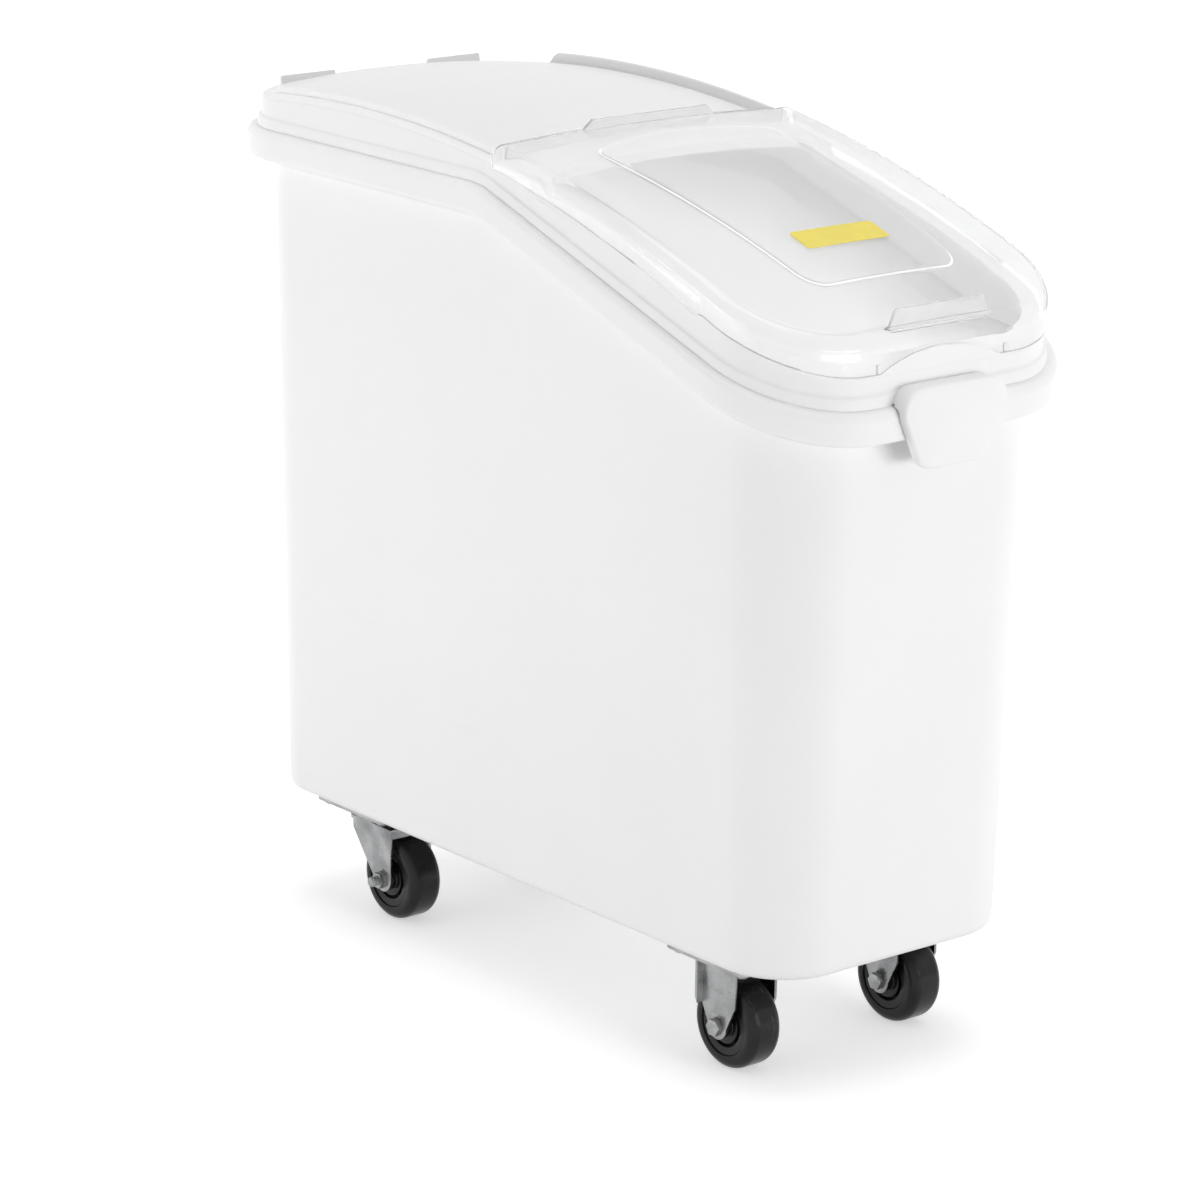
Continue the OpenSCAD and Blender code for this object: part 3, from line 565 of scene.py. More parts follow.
class Recipe:
    """A Geometry Nodes tree with named inputs, run on a host mesh and turned into a plain mesh."""

    title = "recipe"
    inputs: dict[str, str] = {}
    crease = CREASE

    def __init__(self) -> None:
        """Builds the tree once."""
        self.tree = bpy.data.node_groups.new(self.title, "GeometryNodeTree")
        face = self.tree.interface
        face.new_socket("Geometry", in_out="INPUT", socket_type="NodeSocketGeometry")
        self.ids = {
            name: face.new_socket(name, in_out="INPUT", socket_type="NodeSocket" + kind).identifier
            for name, kind in self.inputs.items()
        }
        face.new_socket("Geometry", in_out="OUTPUT", socket_type="NodeSocketGeometry")
        self.given = self.tree.nodes.new("NodeGroupInput").outputs
        real = self.add("RealizeInstances", Geometry=self.build())
        paint = self.add("SetMaterial", Geometry=real, Material=self.given["Finish"])
        add_node(self.tree, "NodeGroupOutput", {0: paint})

    def build(self) -> Socket:
        """Adds the nodes that make the shape and returns the socket that carries it."""
        return self.given["Geometry"]

    def add(self, kind: str, out: str | int = 0, **sockets: object) -> Socket:
        """Adds a geometry node.

        Args:
            kind: Node type, without the beginning that all of them have.
            out: Name or place of the output that is wanted.
            **sockets: Links or plain values for its inputs, with underscores for spaces.

        Returns:
            The output.
        """
        named = {name.replace("_", " "): value for name, value in sockets.items()}
        return add_node(self.tree, "GeometryNode" + kind, named).outputs[out]

    def placed(self, shape: Socket) -> Socket:
        """Turns and moves a shape as the inputs say."""
        turn, place = self.given["Turn"], self.given["Place"]
        return self.add("Transform", Geometry=shape, Rotation=turn, Translation=place)

    def run(self, name: str, host: bpy.types.Mesh, **values: object) -> Piece:
        """Makes one piece.

        Args:
            name: Name of the piece.
            host: Mesh that the tree starts from.
            **values: Input values by name, with underscores for spaces.

        Returns:
            The piece as a plain mesh.
        """
        obj = new_piece(name, host)
        change = obj.modifiers.new(self.title, "NODES")
        change.node_group = self.tree
        for key, value in values.items():
            change[self.ids[key.replace("_", " ")]] = value
        settle(obj)
        soften(obj, self.crease)
        return obj


class TurnedPiece(Recipe):
    """Turns a flat profile about an axle: the host's points are distances from the axle and along it."""

    title = "turned_piece"
    inputs = {"Spindle": "Float", "Steps": "Int", "Turn": "Vector", "Place": "Vector", "Finish": "Material"}
    spindle = 0.01
    steps = 128

    def build(self) -> Socket:
        """A circle carries the profile round."""
        steps, spindle = self.given["Steps"], self.given["Spindle"]
        circle = self.add("CurvePrimitiveCircle", Resolution=steps, Radius=spindle)
        profile = self.add("MeshToCurve", Mesh=self.given["Geometry"])
        return self.placed(self.add("CurveToMesh", Curve=circle, Profile_Curve=profile))

    def make(self, name: str, profile: Sequence[Spot], place: Point, finish: Material) -> Piece:
        """Makes a piece that is turned about a line across the bin.

        Args:
            name: Name of the piece.
            profile: Distances from the axle and along it in millimetres, anticlockwise.
            place: Middle of the piece in millimetres.
            finish: Its material.

        Returns:
            The piece.
        """
        host, n = bpy.data.meshes.new(name + "_profile"), len(profile)
        edges = [(k, (k + 1) % n) for k in range(n)]
        host.from_pydata([(r * MM - self.spindle, w * MM, 0) for r, w in profile], edges, [])
        return self.run(
            name, host, Spindle=self.spindle, Steps=self.steps, Turn=(math.pi / 2, 0.0, 0.0),
            Place=metres(place), Finish=finish)


class FittingPattern(Recipe):
    """Sets one fitting at every point of the host."""

    title = "fitting_pattern"
    inputs = {"Fitting": "Object", "Finish": "Material"}

    def build(self) -> Socket:
        """Points of the host carry copies of the fitting."""
        points = self.add("MeshToPoints", Mesh=self.given["Geometry"])
        fitting = self.add("ObjectInfo", "Geometry", Object=self.given["Fitting"], As_Instance=True)
        return self.add("InstanceOnPoints", Points=points, Instance=fitting)

    def make(self, name: str, fitting: Piece, places: Sequence[Point], finish: Material) -> Piece:
        """Makes the whole set as one piece and removes the pattern fitting.

        Args:
            name: Name of the piece.
            fitting: One fitting, at the origin.
            places: Where each copy goes, in millimetres.
            finish: Their material.

        Returns:
            The piece.
        """
        host = bpy.data.meshes.new(name + "_places")
        host.from_pydata([metres(p) for p in places], [], [])
        obj = self.run(name, host, Fitting=fitting, Finish=finish)
        bpy.data.objects.remove(fitting)
        return obj


class BallRing(Recipe):
    """Sets balls evenly round a race."""

    title = "ball_ring"
    inputs = {
        "Race radius": "Float", "Ball radius": "Float", "Count": "Int", "Place": "Vector",
        "Finish": "Material"}
    crease = 60.0
    ball_rounds = 4

    def build(self) -> Socket:
        """A ring of points carries the balls."""
        ring = self.add("MeshCircle", Vertices=self.given["Count"], Radius=self.given["Race radius"])
        points = self.add("MeshToPoints", Mesh=ring)
        ball = self.add("MeshIcoSphere", Radius=self.given["Ball radius"], Subdivisions=self.ball_rounds)
        balls = self.add("InstanceOnPoints", Points=points, Instance=ball)
        return self.add("Transform", Geometry=balls, Translation=self.given["Place"])


class ThreadTurns(Recipe):
    """Winds the ridge of a screw thread along a bolt's end."""

    title = "thread_turns"
    inputs = {
        "Radius": "Float", "Pitch": "Float", "Length": "Float", "Ridge": "Float", "Turn": "Vector",
        "Place": "Vector", "Finish": "Material"}
    turn_steps = 32
    ridge_sides = 4

    def build(self) -> Socket:
        """A helix carries a four-sided ridge."""
        length, radius = self.given["Length"], self.given["Radius"]
        turns = add_node(self.tree, "ShaderNodeMath", {0: length, 1: self.given["Pitch"]}, operation="DIVIDE")
        helix = self.add(
            "CurveSpiral", Resolution=self.turn_steps, Rotations=turns.outputs[0], Start_Radius=radius,
            End_Radius=radius, Height=length)
        ridge = self.add("CurvePrimitiveCircle", Resolution=self.ridge_sides, Radius=self.given["Ridge"])
        return self.placed(self.add("CurveToMesh", Curve=helix, Profile_Curve=ridge, Fill_Caps=True))


# Effects that several finishes share


class Effects:
    """Shader node groups for grain, rubbing and dust."""

    def __init__(self) -> None:
        """Builds each group once."""
        self.grain = self._grain()
        self.rub = self._rub()
        self.dust = self._dust()

    @staticmethod
    def _group(title: str, inputs: Sequence[str], outputs: Sequence[str]) -> tuple[Tree, Node, Node]:
        """Starts a group with plain number sockets.

        Args:
            title: Name of the group.
            inputs: Names of its inputs.
            outputs: Names of its outputs.

        Returns:
            The group with its input and output nodes.
        """
        tree = bpy.data.node_groups.new(title, "ShaderNodeTree")
        for names, way in ((inputs, "INPUT"), (outputs, "OUTPUT")):
            for name in names:
                tree.interface.new_socket(name, in_out=way, socket_type="NodeSocketFloat")
        return tree, tree.nodes.new("NodeGroupInput"), tree.nodes.new("NodeGroupOutput")

    @staticmethod
    def _noise(tree: Tree, scale: object, detail: float, stretch: Point = (1.0, 1.0, 1.0)) -> Socket:
        """Adds noise on Object coordinates.

        Args:
            tree: Group that it goes in.
            scale: Number or socket for the noise's scale.
            detail: Octaves of the noise.
            stretch: Scale along each axis.

        Returns:
            The noise value.
        """
        place = add_node(tree, "ShaderNodeTexCoord").outputs["Object"]
        fit = add_node(tree, "ShaderNodeMapping", {"Vector": place, "Scale": stretch}).outputs["Vector"]
        noise = add_node(tree, "ShaderNodeTexNoise", {"Vector": fit, "Scale": scale, "Detail": detail})
        return noise.outputs["Fac"]

    def _grain(self) -> Tree:
        """Fine grain for bump, and a broad mottle for colour and gloss."""
        scales, results = ("Grain scale", "Mottle scale"), ("Height", "Mottle")
        tree, start, stop = self._group("moulded_grain", scales, results)
        fine = self._noise(tree, start.outputs["Grain scale"], detail=3.0)
        broad = self._noise(tree, start.outputs["Mottle scale"], detail=4.0)
        fill(tree, stop, {"Height": fine, "Mottle": smooth_range(tree, broad, low=0.3, high=0.7)})
        return tree

    def _rub(self) -> Tree:
        """Fine crossing rub marks in patches, as a mask."""
        tree, start, stop = self._group("rub_marks", ("Line scale", "Amount"), ("Mask",))
        streaks = self._noise(tree, start.outputs["Line scale"], detail=2.0, stretch=(0.08, 1.0, 0.5))
        lines = smooth_range(tree, streaks, low=0.62, high=0.72)
        patch = smooth_range(tree, self._noise(tree, scale=9.0, detail=3.0), low=0.5, high=0.75)
        fill(tree, stop, {"Mask": product(tree, product(tree, lines, patch), start.outputs["Amount"])})
        return tree

    def _dust(self) -> Tree:
        """Thin dust on what faces up, as a mask."""
        tree, start, stop = self._group("settled_dust", ("Amount",), ("Mask",))
        normal = add_node(tree, "ShaderNodeNewGeometry").outputs["Normal"]
        up = add_node(tree, "ShaderNodeSeparateXYZ", {0: normal}).outputs["Z"]
        facing = smooth_range(tree, up, low=0.35, high=1.0)
        patch = smooth_range(tree, self._noise(tree, scale=40.0, detail=5.0), low=0.35, high=0.75)
        fill(tree, stop, {"Mask": product(tree, product(tree, facing, patch), start.outputs["Amount"])})
        return tree


@dataclass(frozen=True)
class Finish:
    """A surface: two near colours that mottle, gloss that varies, a grain, rub marks and dust.

    Where a piece keeps the finish's mark at its points, the marked ones also carry a faint painted glow that
    stands in for light.
    """

    slot: str
    light: Colour
    dark: Colour
    gloss: Spot
    grain: float
    mottle: float
    bump: float
    metallic: float = 0.0
    rub_scale: float = 160.0
    rub: float = 0.3
    rub_colour: Colour = (0.6, 0.6, 0.59, 1.0)
    rub_dulls: float = 0.15
    dust: float = 0.1
    dust_colour: Colour = (0.75, 0.74, 0.71, 1.0)
    grain_depth: float = 0.0004
    specular: float = 0.5
    coat: float = 0.0
    mark: str = ""
    glow: float = 0.0

    def material(self, effects: Effects) -> Material:
        """Builds the node material.

        Args:
            effects: Shared shader groups.

        Returns:
            The material.
        """
        made = bpy.data.materials.new(self.slot)
        made.use_nodes = True
        tree = made.node_tree
        shader = tree.nodes["Principled BSDF"]
        grain = self._place(tree, effects.grain, (self.grain, self.mottle))
        rub = self._place(tree, effects.rub, (self.rub_scale, self.rub))["Mask"]
        dust = self._place(tree, effects.dust, (self.dust,))["Mask"]
        base = self._mix(tree, grain["Mottle"], self.dark, self.light)
        worn = self._mix(tree, rub, base, self.rub_colour)
        ends = {"Value": grain["Mottle"], "To Min": self.gloss[0], "To Max": self.gloss[1]}
        rough = add_node(tree, "ShaderNodeMapRange", ends).outputs[0]
        dulling = {0: rub, 1: self.rub_dulls, 2: rough}
        dull = add_node(tree, "ShaderNodeMath", dulling, operation="MULTIPLY_ADD")
        bump = add_node(
            tree, "ShaderNodeBump",
            {"Strength": self.bump, "Distance": self.grain_depth, "Height": grain["Height"]})
        fill(tree, shader, {
            "Base Color": self._mix(tree, dust, worn, self.dust_colour), "Roughness": dull.outputs[0],
            "Normal": bump.outputs[0], "Metallic": self.metallic, "Specular IOR Level": self.specular,
            "Coat Weight": self.coat})
        # Marked points glow: painted light, not a lamp.
        if self.mark:
            marked = add_node(tree, "ShaderNodeAttribute", attribute_name=self.mark)
            fill(tree, shader, {"Emission Color": marked.outputs["Color"], "Emission Strength": self.glow})
        return made

    @staticmethod
    def _place(tree: Tree, group: Tree, values: Sequence[float]) -> bpy.types.bpy_prop_collection:
        """Places a shared group with its own values and returns its outputs."""
        return add_node(tree, "ShaderNodeGroup", dict(enumerate(values)), node_tree=group).outputs

    @staticmethod
    def _mix(tree: Tree, share: Socket, a: object, b: object) -> Socket:
        """Mixes two colours or colour sockets by a share."""
        # The node lists its number, vector and colour sockets in turn: colours go in at 6 and 7 and out at 2.
        return add_node(tree, "ShaderNodeMix", {0: share, 6: a, 7: b}, data_type="RGBA").outputs[2]


@dataclass(frozen=True)
class ClearFinish(Finish):
    """Clear glossy plastic that lets lamp light through, with a painted highlight glow on the marked slopes
    round its panel.
    """

    ior: float = 1.36
    clear: float = 0.83
    lamp_share: Colour = (0.81, 0.811, 0.812, 1.0)

    def material(self, effects: Effects) -> Material:
        """Builds the node material.

        Args:
            effects: Shared shader groups.

        Returns:
            The material.
        """
        made = super().material(effects)
        tree = made.node_tree
        shader = tree.nodes["Principled BSDF"]
        fill(tree, shader, {"Transmission Weight": self.clear, "IOR": self.ior})
        lamp_ray = add_node(tree, "ShaderNodeLightPath").outputs["Is Shadow Ray"]
        open_way = add_node(tree, "ShaderNodeBsdfTransparent", {"Color": self.lamp_share})
        ways = {0: lamp_ray, 1: shader.outputs[0], 2: open_way.outputs[0]}
        blend = add_node(tree, "ShaderNodeMixShader", ways)
        fill(tree, tree.nodes["Material Output"], {"Surface": blend.outputs[0]})
        return made


WHITE = Finish(
    "white_plastic", (0.865, 0.865, 0.862, 1), (0.845, 0.845, 0.842, 1), (0.38, 0.46), 1400.0, 6.0, 0.05,
    rub=0.12, dust=0.04, rub_colour=(0.74, 0.74, 0.735, 1))
# The tub's inner faces carry a painted glow that stands in for light coming through the thin wall.
TUB_WALL_PAINTED_GLOW = replace(WHITE, slot="tub_wall", mark=PAINTED_INNER_GLOW, glow=0.26)
DARK_DUST: Colour = (0.2, 0.195, 0.185, 1)
FINISHES: tuple[Finish, ...] = (
    WHITE,
    # The clear lid's marked panel slopes glow as a painted highlight.
    ClearFinish(
        "clear_plastic", (0.87, 0.871, 0.872, 1), (0.857, 0.858, 0.859, 1), (0.05, 0.09), 300.0, 10.0, 0.0,
        rub=0.25, dust=0.02, specular=0.2, rub_colour=(0.86, 0.87, 0.87, 1), mark=PAINTED_EDGE_HIGHLIGHT, glow=0.42),
    Finish(
        "label", (0.85, 0.7, 0.06, 1), (0.81, 0.66, 0.045, 1), (0.3, 0.42), 2600.0, 60.0, 0.08,
        rub=0.1, dust=0.02, coat=0.2, rub_colour=(0.9, 0.74, 0.25, 1)),
    Finish(
        "tread_rubber", (0.011, 0.011, 0.011, 1), (0.006, 0.006, 0.006, 1), (0.16, 0.26), 1800.0, 25.0, 0.06,
        rub=0.4, dust=0.05, specular=0.26, rub_colour=(0.07, 0.07, 0.068, 1), dust_colour=DARK_DUST),
    Finish(
        "core_plastic", (0.012, 0.012, 0.0122, 1), (0.007, 0.007, 0.007, 1), (0.16, 0.26), 1500.0, 30.0, 0.06,
        rub=0.3, dust=0.05, specular=0.3, rub_colour=(0.08, 0.08, 0.08, 1), dust_colour=DARK_DUST),
    Finish(
        "zinc_plate", (0.4, 0.404, 0.408, 1), (0.24, 0.244, 0.248, 1), (0.2, 0.34), 900.0, 45.0, 0.06,
        metallic=1.0, rub_scale=420.0, rub=0.5, rub_colour=(0.8, 0.8, 0.79, 1), dust=0.03),
    Finish(
        "brass", (0.62, 0.47, 0.2, 1), (0.5, 0.37, 0.14, 1), (0.25, 0.38), 1200.0, 50.0, 0.05,
        metallic=1.0, rub=0.3, rub_colour=(0.72, 0.58, 0.3, 1), dust=0.03),
)


class Finisher:
    """Holds the materials by record slot and gives finished pieces to the frame."""

    def __init__(self) -> None:
        """Builds every material."""
        effects = Effects()
        self.materials = {finish.slot: finish.material(effects) for finish in FINISHES}
        self.tub_wall = TUB_WALL_PAINTED_GLOW.material(effects)

    def give(self, obj: Piece, slot: str, body: str, *nodes: str) -> None:
        """Paints a piece and fixes it to its body.

        Args:
            obj: The piece.
            slot: Record slot of its finish.
            body: Body that it rides on.
            *nodes: CAD nodes that it stands for.
        """
        obj.data.materials.clear()
        obj.data.materials.append(self.materials[slot])
        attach(obj, body)
        if nodes:
            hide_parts(*nodes)
        LOG.info("%s on %s, %d faces", obj.name, body, len(obj.data.polygons))

    def carry(self) -> None:
        """Paints the CAD nodes that stay in view."""
        for part in frame["record"]["subparts"]:
            node = frame["nodes"][part["node"]]
            if len(node.data.materials) == 0:
                node.data.materials.append(None)
            for k in range(len(node.material_slots)):
                node.material_slots[k].material = self.materials[part["material_slot"]]


# Sub-assemblies


@dataclass
class Tub:
    """The drafted tub with its flared rim and the screw bosses on its floor."""

    form: BinForm
    rim_band: float = 26.0
    wall_t: float = 4.5
    floor_t: float = 5.0
    draft: float = 11.0
    foot_r: float = 9.0
    flare_r: float = 10.0
    flare_a: float = 10.0
    rim_seat_d: float = 16.0
    mouth_slope_d: float = 14.0
    mouth_ease: float = 1.0
    seat_ease: float = 0.5
    boss_r: float = 9.0
    boss_h: float = 14.0
    boss_edge: float = 1.5
    boss_steps: int = 32
    fore_steps: int = 22
    aft_steps: int = 24

    def line(self) -> Line:
        """Outline of the walls at their top, with close stops at the bend."""
        f, near = self.form, self.form.bend_stops()
        fore = spread(f.wall_front_x - f.front_r, near[0], self.fore_steps)
        return f.wall_line(fore + near + spread(near[-1], f.wall_rear_x + f.rear_r, self.aft_steps))

    def profile(self) -> list[Spot]:
        """Section of the rim, up the outside and down the inside: offset from the wall, height."""
        f, edge, lean = self.form, self.form.rim_edge_r, math.radians(self.flare_a)
        run = f.rim_over - (edge + self.flare_r) * (1 - math.sin(lean))
        edge_low = -self.rim_band + edge * (1 - math.cos(lean))
        flare_z = edge_low - run * math.tan(lean) - self.flare_r * math.cos(lean)
        out, face, low = f.rim_over - edge, f.face_o, -self.rim_seat_d
        points = arc_points((self.flare_r, flare_z), self.flare_r, 180, 90 + self.flare_a)
        points += arc_points((out, edge - self.rim_band), edge, self.flare_a - 90, 0)
        points += arc_points((out, -edge), edge, 0, 90)
        corner = ((1, 0), (0.3, -0.3), (0, -1))
        points += [(face + o * self.mouth_ease, dz * self.mouth_ease) for o, dz in corner]
        points += [(face, low + self.seat_ease), (face - self.seat_ease, low)]
        return points + [(-self.wall_t, low - self.mouth_slope_d)]

    def build(self, finisher: Finisher, places: Sequence[Spot]) -> None:
        """Builds the tub and dresses it.

        Args:
            finisher: Paints the piece and fixes it to its body.
            places: Places of the plate screws, under the bosses.
        """
        f, r, line = self.form, self.foot_r, self.line()
        low_out = arc_points((-self.draft - r, f.caster_h + r), r, -90, 0)
        low_in = arc_points((-self.draft - self.wall_t - r, f.caster_h + self.floor_t + r), r, 0, -90)
        outer, inner = ([[(x, y, z) for x, y in moved(line, o)] for o, z in low] for low in (low_out, low_in))
        rim = [f.seam_ring(line, o, dz) for o, dz in self.profile()]
        outside = outer + self.wall(outer[-1], rim[0]) + rim
        draft = Draft().loft(outside + self.wall(rim[-1], inner[0]) + inner, End.FAN)
        first_in, underside = len(outside) * len(line), len(draft.points) - 2
        for x, y in places:
            draft.loft(self.boss(x, y), End.FAN)
        tub = draft.piece("tub_moulding")
        count = len(draft.points)
        # Marks the tub's inner faces for their painted glow.
        mark_points(tub, PAINTED_INNER_GLOW, [float(k >= first_in and k != underside) for k in range(count)])
        finisher.give(tub, "white_plastic", "base", "tub")
        # The tub gets the white finish that has the painted glow on its marked inner faces.
        tub.data.materials[0] = finisher.tub_wall

    @staticmethod
    def wall(low: Ring, high: Ring, count: int = 9) -> list[Ring]:
        """Rings between two others, so that the long walls shade evenly."""
        shares = spread(0.0, 1.0, count)
        return [[tuple(a + (b - a) * t for a, b in zip(p, q)) for p, q in zip(low, high)] for t in shares]

    def boss(self, x: float, y: float) -> list[Ring]:
        """Rings of one screw boss on the floor, with a round top edge."""
        r, edge, foot = self.boss_r, self.boss_edge, self.form.caster_h
        top = arc_points((r - edge, foot + self.boss_h - edge), edge, 0, 90, 4)
        return turned_rings([(r, foot + self.floor_t / 2)] + top, self.boss_steps, x, y)


@dataclass
class LidFrame:
    """The lift-off frame: band, arched cover, rails, rear stops, tongue and front grip."""

    form: BinForm
    thick: float = 3.5
    band_h: float = 9.0
    band_lean: float = 1.0
    band_edge: tuple[Spot, ...] = ((0.1, -0.8), (-0.3, -0.2), (-0.9, 0.1))
    band_fillet: tuple[Spot, ...] = ((0.8, 0.6), (0.25, 1.6))
    fillet_h: float = 3.5
    edge_round: float = 2.5
    lip_depth: float = 14.0
    seat_gap: float = 0.15
    mouth_gap: float = 1.0
    side_deck: float = 18.0
    front_deck: float = 22.0
    hem_d: float = 8.0
    hole_round: float = 0.8
    open_r_front: float = 60.0
    open_r_rear: float = 16.0
    rail_back: float = 62.0
    rail_round: float = 1.2
    rail_root: float = 1.0
    rail_steps: int = 64
    rail_ramp: int = 3
    ledge_drop: float = 6.0
    stop_w: float = 58.0
    stop_h: float = 5.0
    stop_t: float = 3.0
    stop_r: float = 2.0
    stop_edge: float = 0.8
    stop_span: float = 158.0
    arch_gap: float = 1.2
    arch_steps: int = 40
    face_gap: float = 0.25
    grip_w: float = 108.0
    grip_h: float = 65.0
    grip_t: float = 3.5
    grip_up: float = 17.0
    grip_r: float = 18.0
    grip_edge: float = 3.2
    grip_gap: float = 0.7
    hollow_edge: float = 0.6
    low_share: float = 0.76
    waist_share: float = 0.28
    fore_steps: int = 24
    aft_steps: int = 44
    top_steps: int = 16

    def shell(self) -> Draft:
        """Band, upright face, cover and deck as one loft that closes on itself."""
        f, face, e = self.form, self.form.face_o, self.edge_round
        ramp, bend = [f.cover_x + f.deck_ramp * k / 8 for k in range(10, -3, -1)], f.bend_stops()
        fore = spread(f.wall_front_x - f.front_r, ramp[0], self.fore_steps)
        aft = spread(bend[-1], f.wall_rear_x + f.rear_r, self.aft_steps - len(bend))
        outer = f.wall_line(fore + ramp + bend + aft)
        front, rear, half = f.face_front_x - self.front_deck, f.cover_x, f.face_half_w - self.side_deck
        stops = spread(front - self.open_r_front, rear + self.open_r_rear, self.fore_steps + len(ramp))
        counts = (f.end_steps, f.end_steps + self.aft_steps, f.corner_steps)
        inner = plan_line(rear, front, half, self.open_r_rear, self.open_r_front, stops, *counts)
        foot = f.rim_over - f.band_in
        band = [(foot, self.seat_gap)]
        band += [(foot - self.band_lean + o, self.band_h + dz) for o, dz in self.band_edge]
        band += [(face + o, self.band_h + dz) for o, dz in self.band_fillet]
        rings = [f.seam_ring(outer, o, dz) for o, dz in band + [(face, self.band_h + self.fillet_h)]]
        rings += [self.top_ring(moved(outer, o), drop) for o, drop in arc_points((face - e, e), e, 0, -90, 5)]
        edge, hole, s = moved(outer, face - e), moved(inner, 0.0), self.hole_round
        shares = [k / self.top_steps for k in range(1, self.top_steps)]
        rings += [self.top_ring(between(edge, hole, t), 0.0) for t in shares]
        hem = [(s, 0.0), (s / 4, s / 4), (0.0, s), (0.0, self.hem_d), (self.thick, self.hem_d)]
        rings += [self.top_ring(moved(inner, o), drop) for o, drop in hem + [(self.thick, self.thick)]]
        rings += [self.top_ring(between(edge, hole, t), self.thick) for t in reversed(shares[:-1])]
        rings.append(self.top_ring(moved(outer, face - self.thick), self.thick))
        lip = face - self.mouth_gap
        seat = ((face - self.thick, -self.lip_depth), (lip, -self.lip_depth), (lip, self.seat_gap))
        return Draft().loft(rings + [f.seam_ring(outer, o, dz) for o, dz in seat], End.LOOP)

    def top_ring(self, places: Sequence[Spot], drop: float) -> Ring:
        """Ring on the frame's top, lowered by drop along the arch's radius."""
        f = self.form
        return [(x, y, f.arc(x, f.top_r(x, y) - drop)) for x, y in places]

    def rails(self, draft: Draft) -> None:
        """Adds the two rails with their ledges, swept along the arch."""
        f, r, steps = self.form, self.rail_round, self.rail_steps
        low, ledge = f.crown(f.rail_out) - self.thick / 2, f.arch_r - self.ledge_drop
        side, root = f.face_half_w - self.seat_gap, low - self.rail_root
        section = [(side, low), (side, ledge - r)] + arc_points((side - r, ledge - r), r, 0, 90, 4)
        section += [(f.rail_out, ledge), (f.rail_out, f.arch_r - r)]
        section += arc_points((f.rail_out - r, f.arch_r - r), r, 0, 90, 4)
        section += arc_points((f.rail_in + r, f.arch_r - r), r, 90, 180, 4) + [(f.rail_in, low)]
        start, stop = f.rear_x + self.rail_back, f.lid_rear_x - f.rest_gap
        for sign in (1, -1):
            rings = []
            for k in range(steps + 1):
                x = start + (stop - start) * k / steps
                top = f.arch_r - (1 - ease(k / self.rail_ramp)) * (f.arch_r - low - self.rail_root)
                rings.append([f.on_arch(x, sign * y, max(root, min(q, top))) for y, q in section[::sign]])
            draft.loft(rings, End.FAN)

    def rear_stops(self, draft: Draft) -> None:
        """Adds the two low stops at the rear edge of the cover."""
        f, x0 = self.form, self.form.face_rear_x + self.edge_round
        for mid in (-self.stop_span / 2, self.stop_span / 2):
            base = f.crown(abs(mid) + self.stop_w / 2) - self.thick / 2
            outline = rounded_box(mid, self.stop_w, base, f.crown(abs(mid)) + self.stop_h, self.stop_r, 5)
            draft.slab(outline, x0, x0 + self.stop_t, self.stop_edge, lambda u, v, w: f.on_arch(w, u, v))

    def tongue(self, draft: Draft) -> None:
        """Adds the arched tongue that fills the cut in the lid's front skirt."""
        f, base, r = self.form, self.form.skirt_z, bow_radius(self.form.tongue_w, self.form.tongue_h)
        own_r, mid, n = r - self.arch_gap, base + f.tongue_h - r, self.arch_steps
        half = math.sqrt(own_r**2 - (r - f.tongue_h) ** 2)
        across = [half - 2 * half * k / n for k in range(n + 1)]
        outline = [(y, mid + math.sqrt(own_r**2 - y * y)) for y in across]
        outline += [(-half, base - self.fillet_h), (half, base - self.fillet_h)]
        depths = (f.face_front_x - self.thick + self.face_gap, f.face_front_x - self.face_gap)
        draft.loft([[(x, y, z) for y, z in outline] for x in depths], End.FAN)

    def grip_line(self, inset: float) -> Line:
        """Shield outline of the grip, from its top edge down."""
        r, w, h = self.grip_r, self.grip_w / 2, self.grip_h
        right = [(self.low_share * w - r, r - h), (w - r, -self.waist_share * h), (w - r - self.grip_t, -r)]
        return rounded_outline(right + [(-u, v) for u, v in reversed(right)], r - inset, 10)

    def rim_room(self) -> Draft:
        """The room that the grip leaves for the rim and its round edge."""
        f, gap, w = self.form, self.grip_gap, self.grip_w
        back, edge_x, r = f.face_front_x - self.thick, f.rim_front_x - f.rim_edge_r, f.rim_edge_r + gap
        edge_z = f.seam(edge_x) - f.rim_edge_r
        low, top = edge_z - 2 * self.grip_h, f.seam(f.face_front_x) + self.seat_gap + gap
        outline = [(back, low), (edge_x + r, low)] + arc_points((edge_x, edge_z), r, 0, 90, 10)
        outline += [(edge_x, top), (back, top)]
        return Draft().loft([[(x, y, z) for x, z in outline] for y in (w, -w)], End.FAN)

    def grip(self) -> Piece:
        """The hollow pull grip that hangs in front of the rim."""
        f = self.form
        top, back, face = f.seam(f.rim_front_x) + self.grip_up, f.face_front_x, f.length / 2

        def put(u: float, v: float, w: float) -> Point:
            """Point of the grip at depth w."""
            return (w, u, top + v)

        outside, inside = self.grip_line(0.0), self.grip_line(self.grip_t)
        body = Draft().slab(outside, back - self.thick / 2, face, self.grip_edge, put).piece("grip")
        hollow = Draft().slab(inside, back + self.face_gap, face - self.grip_t, self.hollow_edge, put)
        for room in (hollow, self.rim_room()):
            work(body, room, Solid.CUT)
        soften(body)
        return body

    def build(self, finisher: Finisher) -> None:
        """Builds the frame and dresses it.

        Args:
            finisher: Paints the pieces and fixes them to their body.
        """
        draft = self.shell()
        for add in (self.rails, self.rear_stops, self.tongue):
            add(draft)
        shell, grip = draft.piece("lid_frame_moulding"), self.grip()
        finisher.give(shell, "white_plastic", "lid_frame", "lid_frame")
        finisher.give(grip, "white_plastic", "lid_frame")


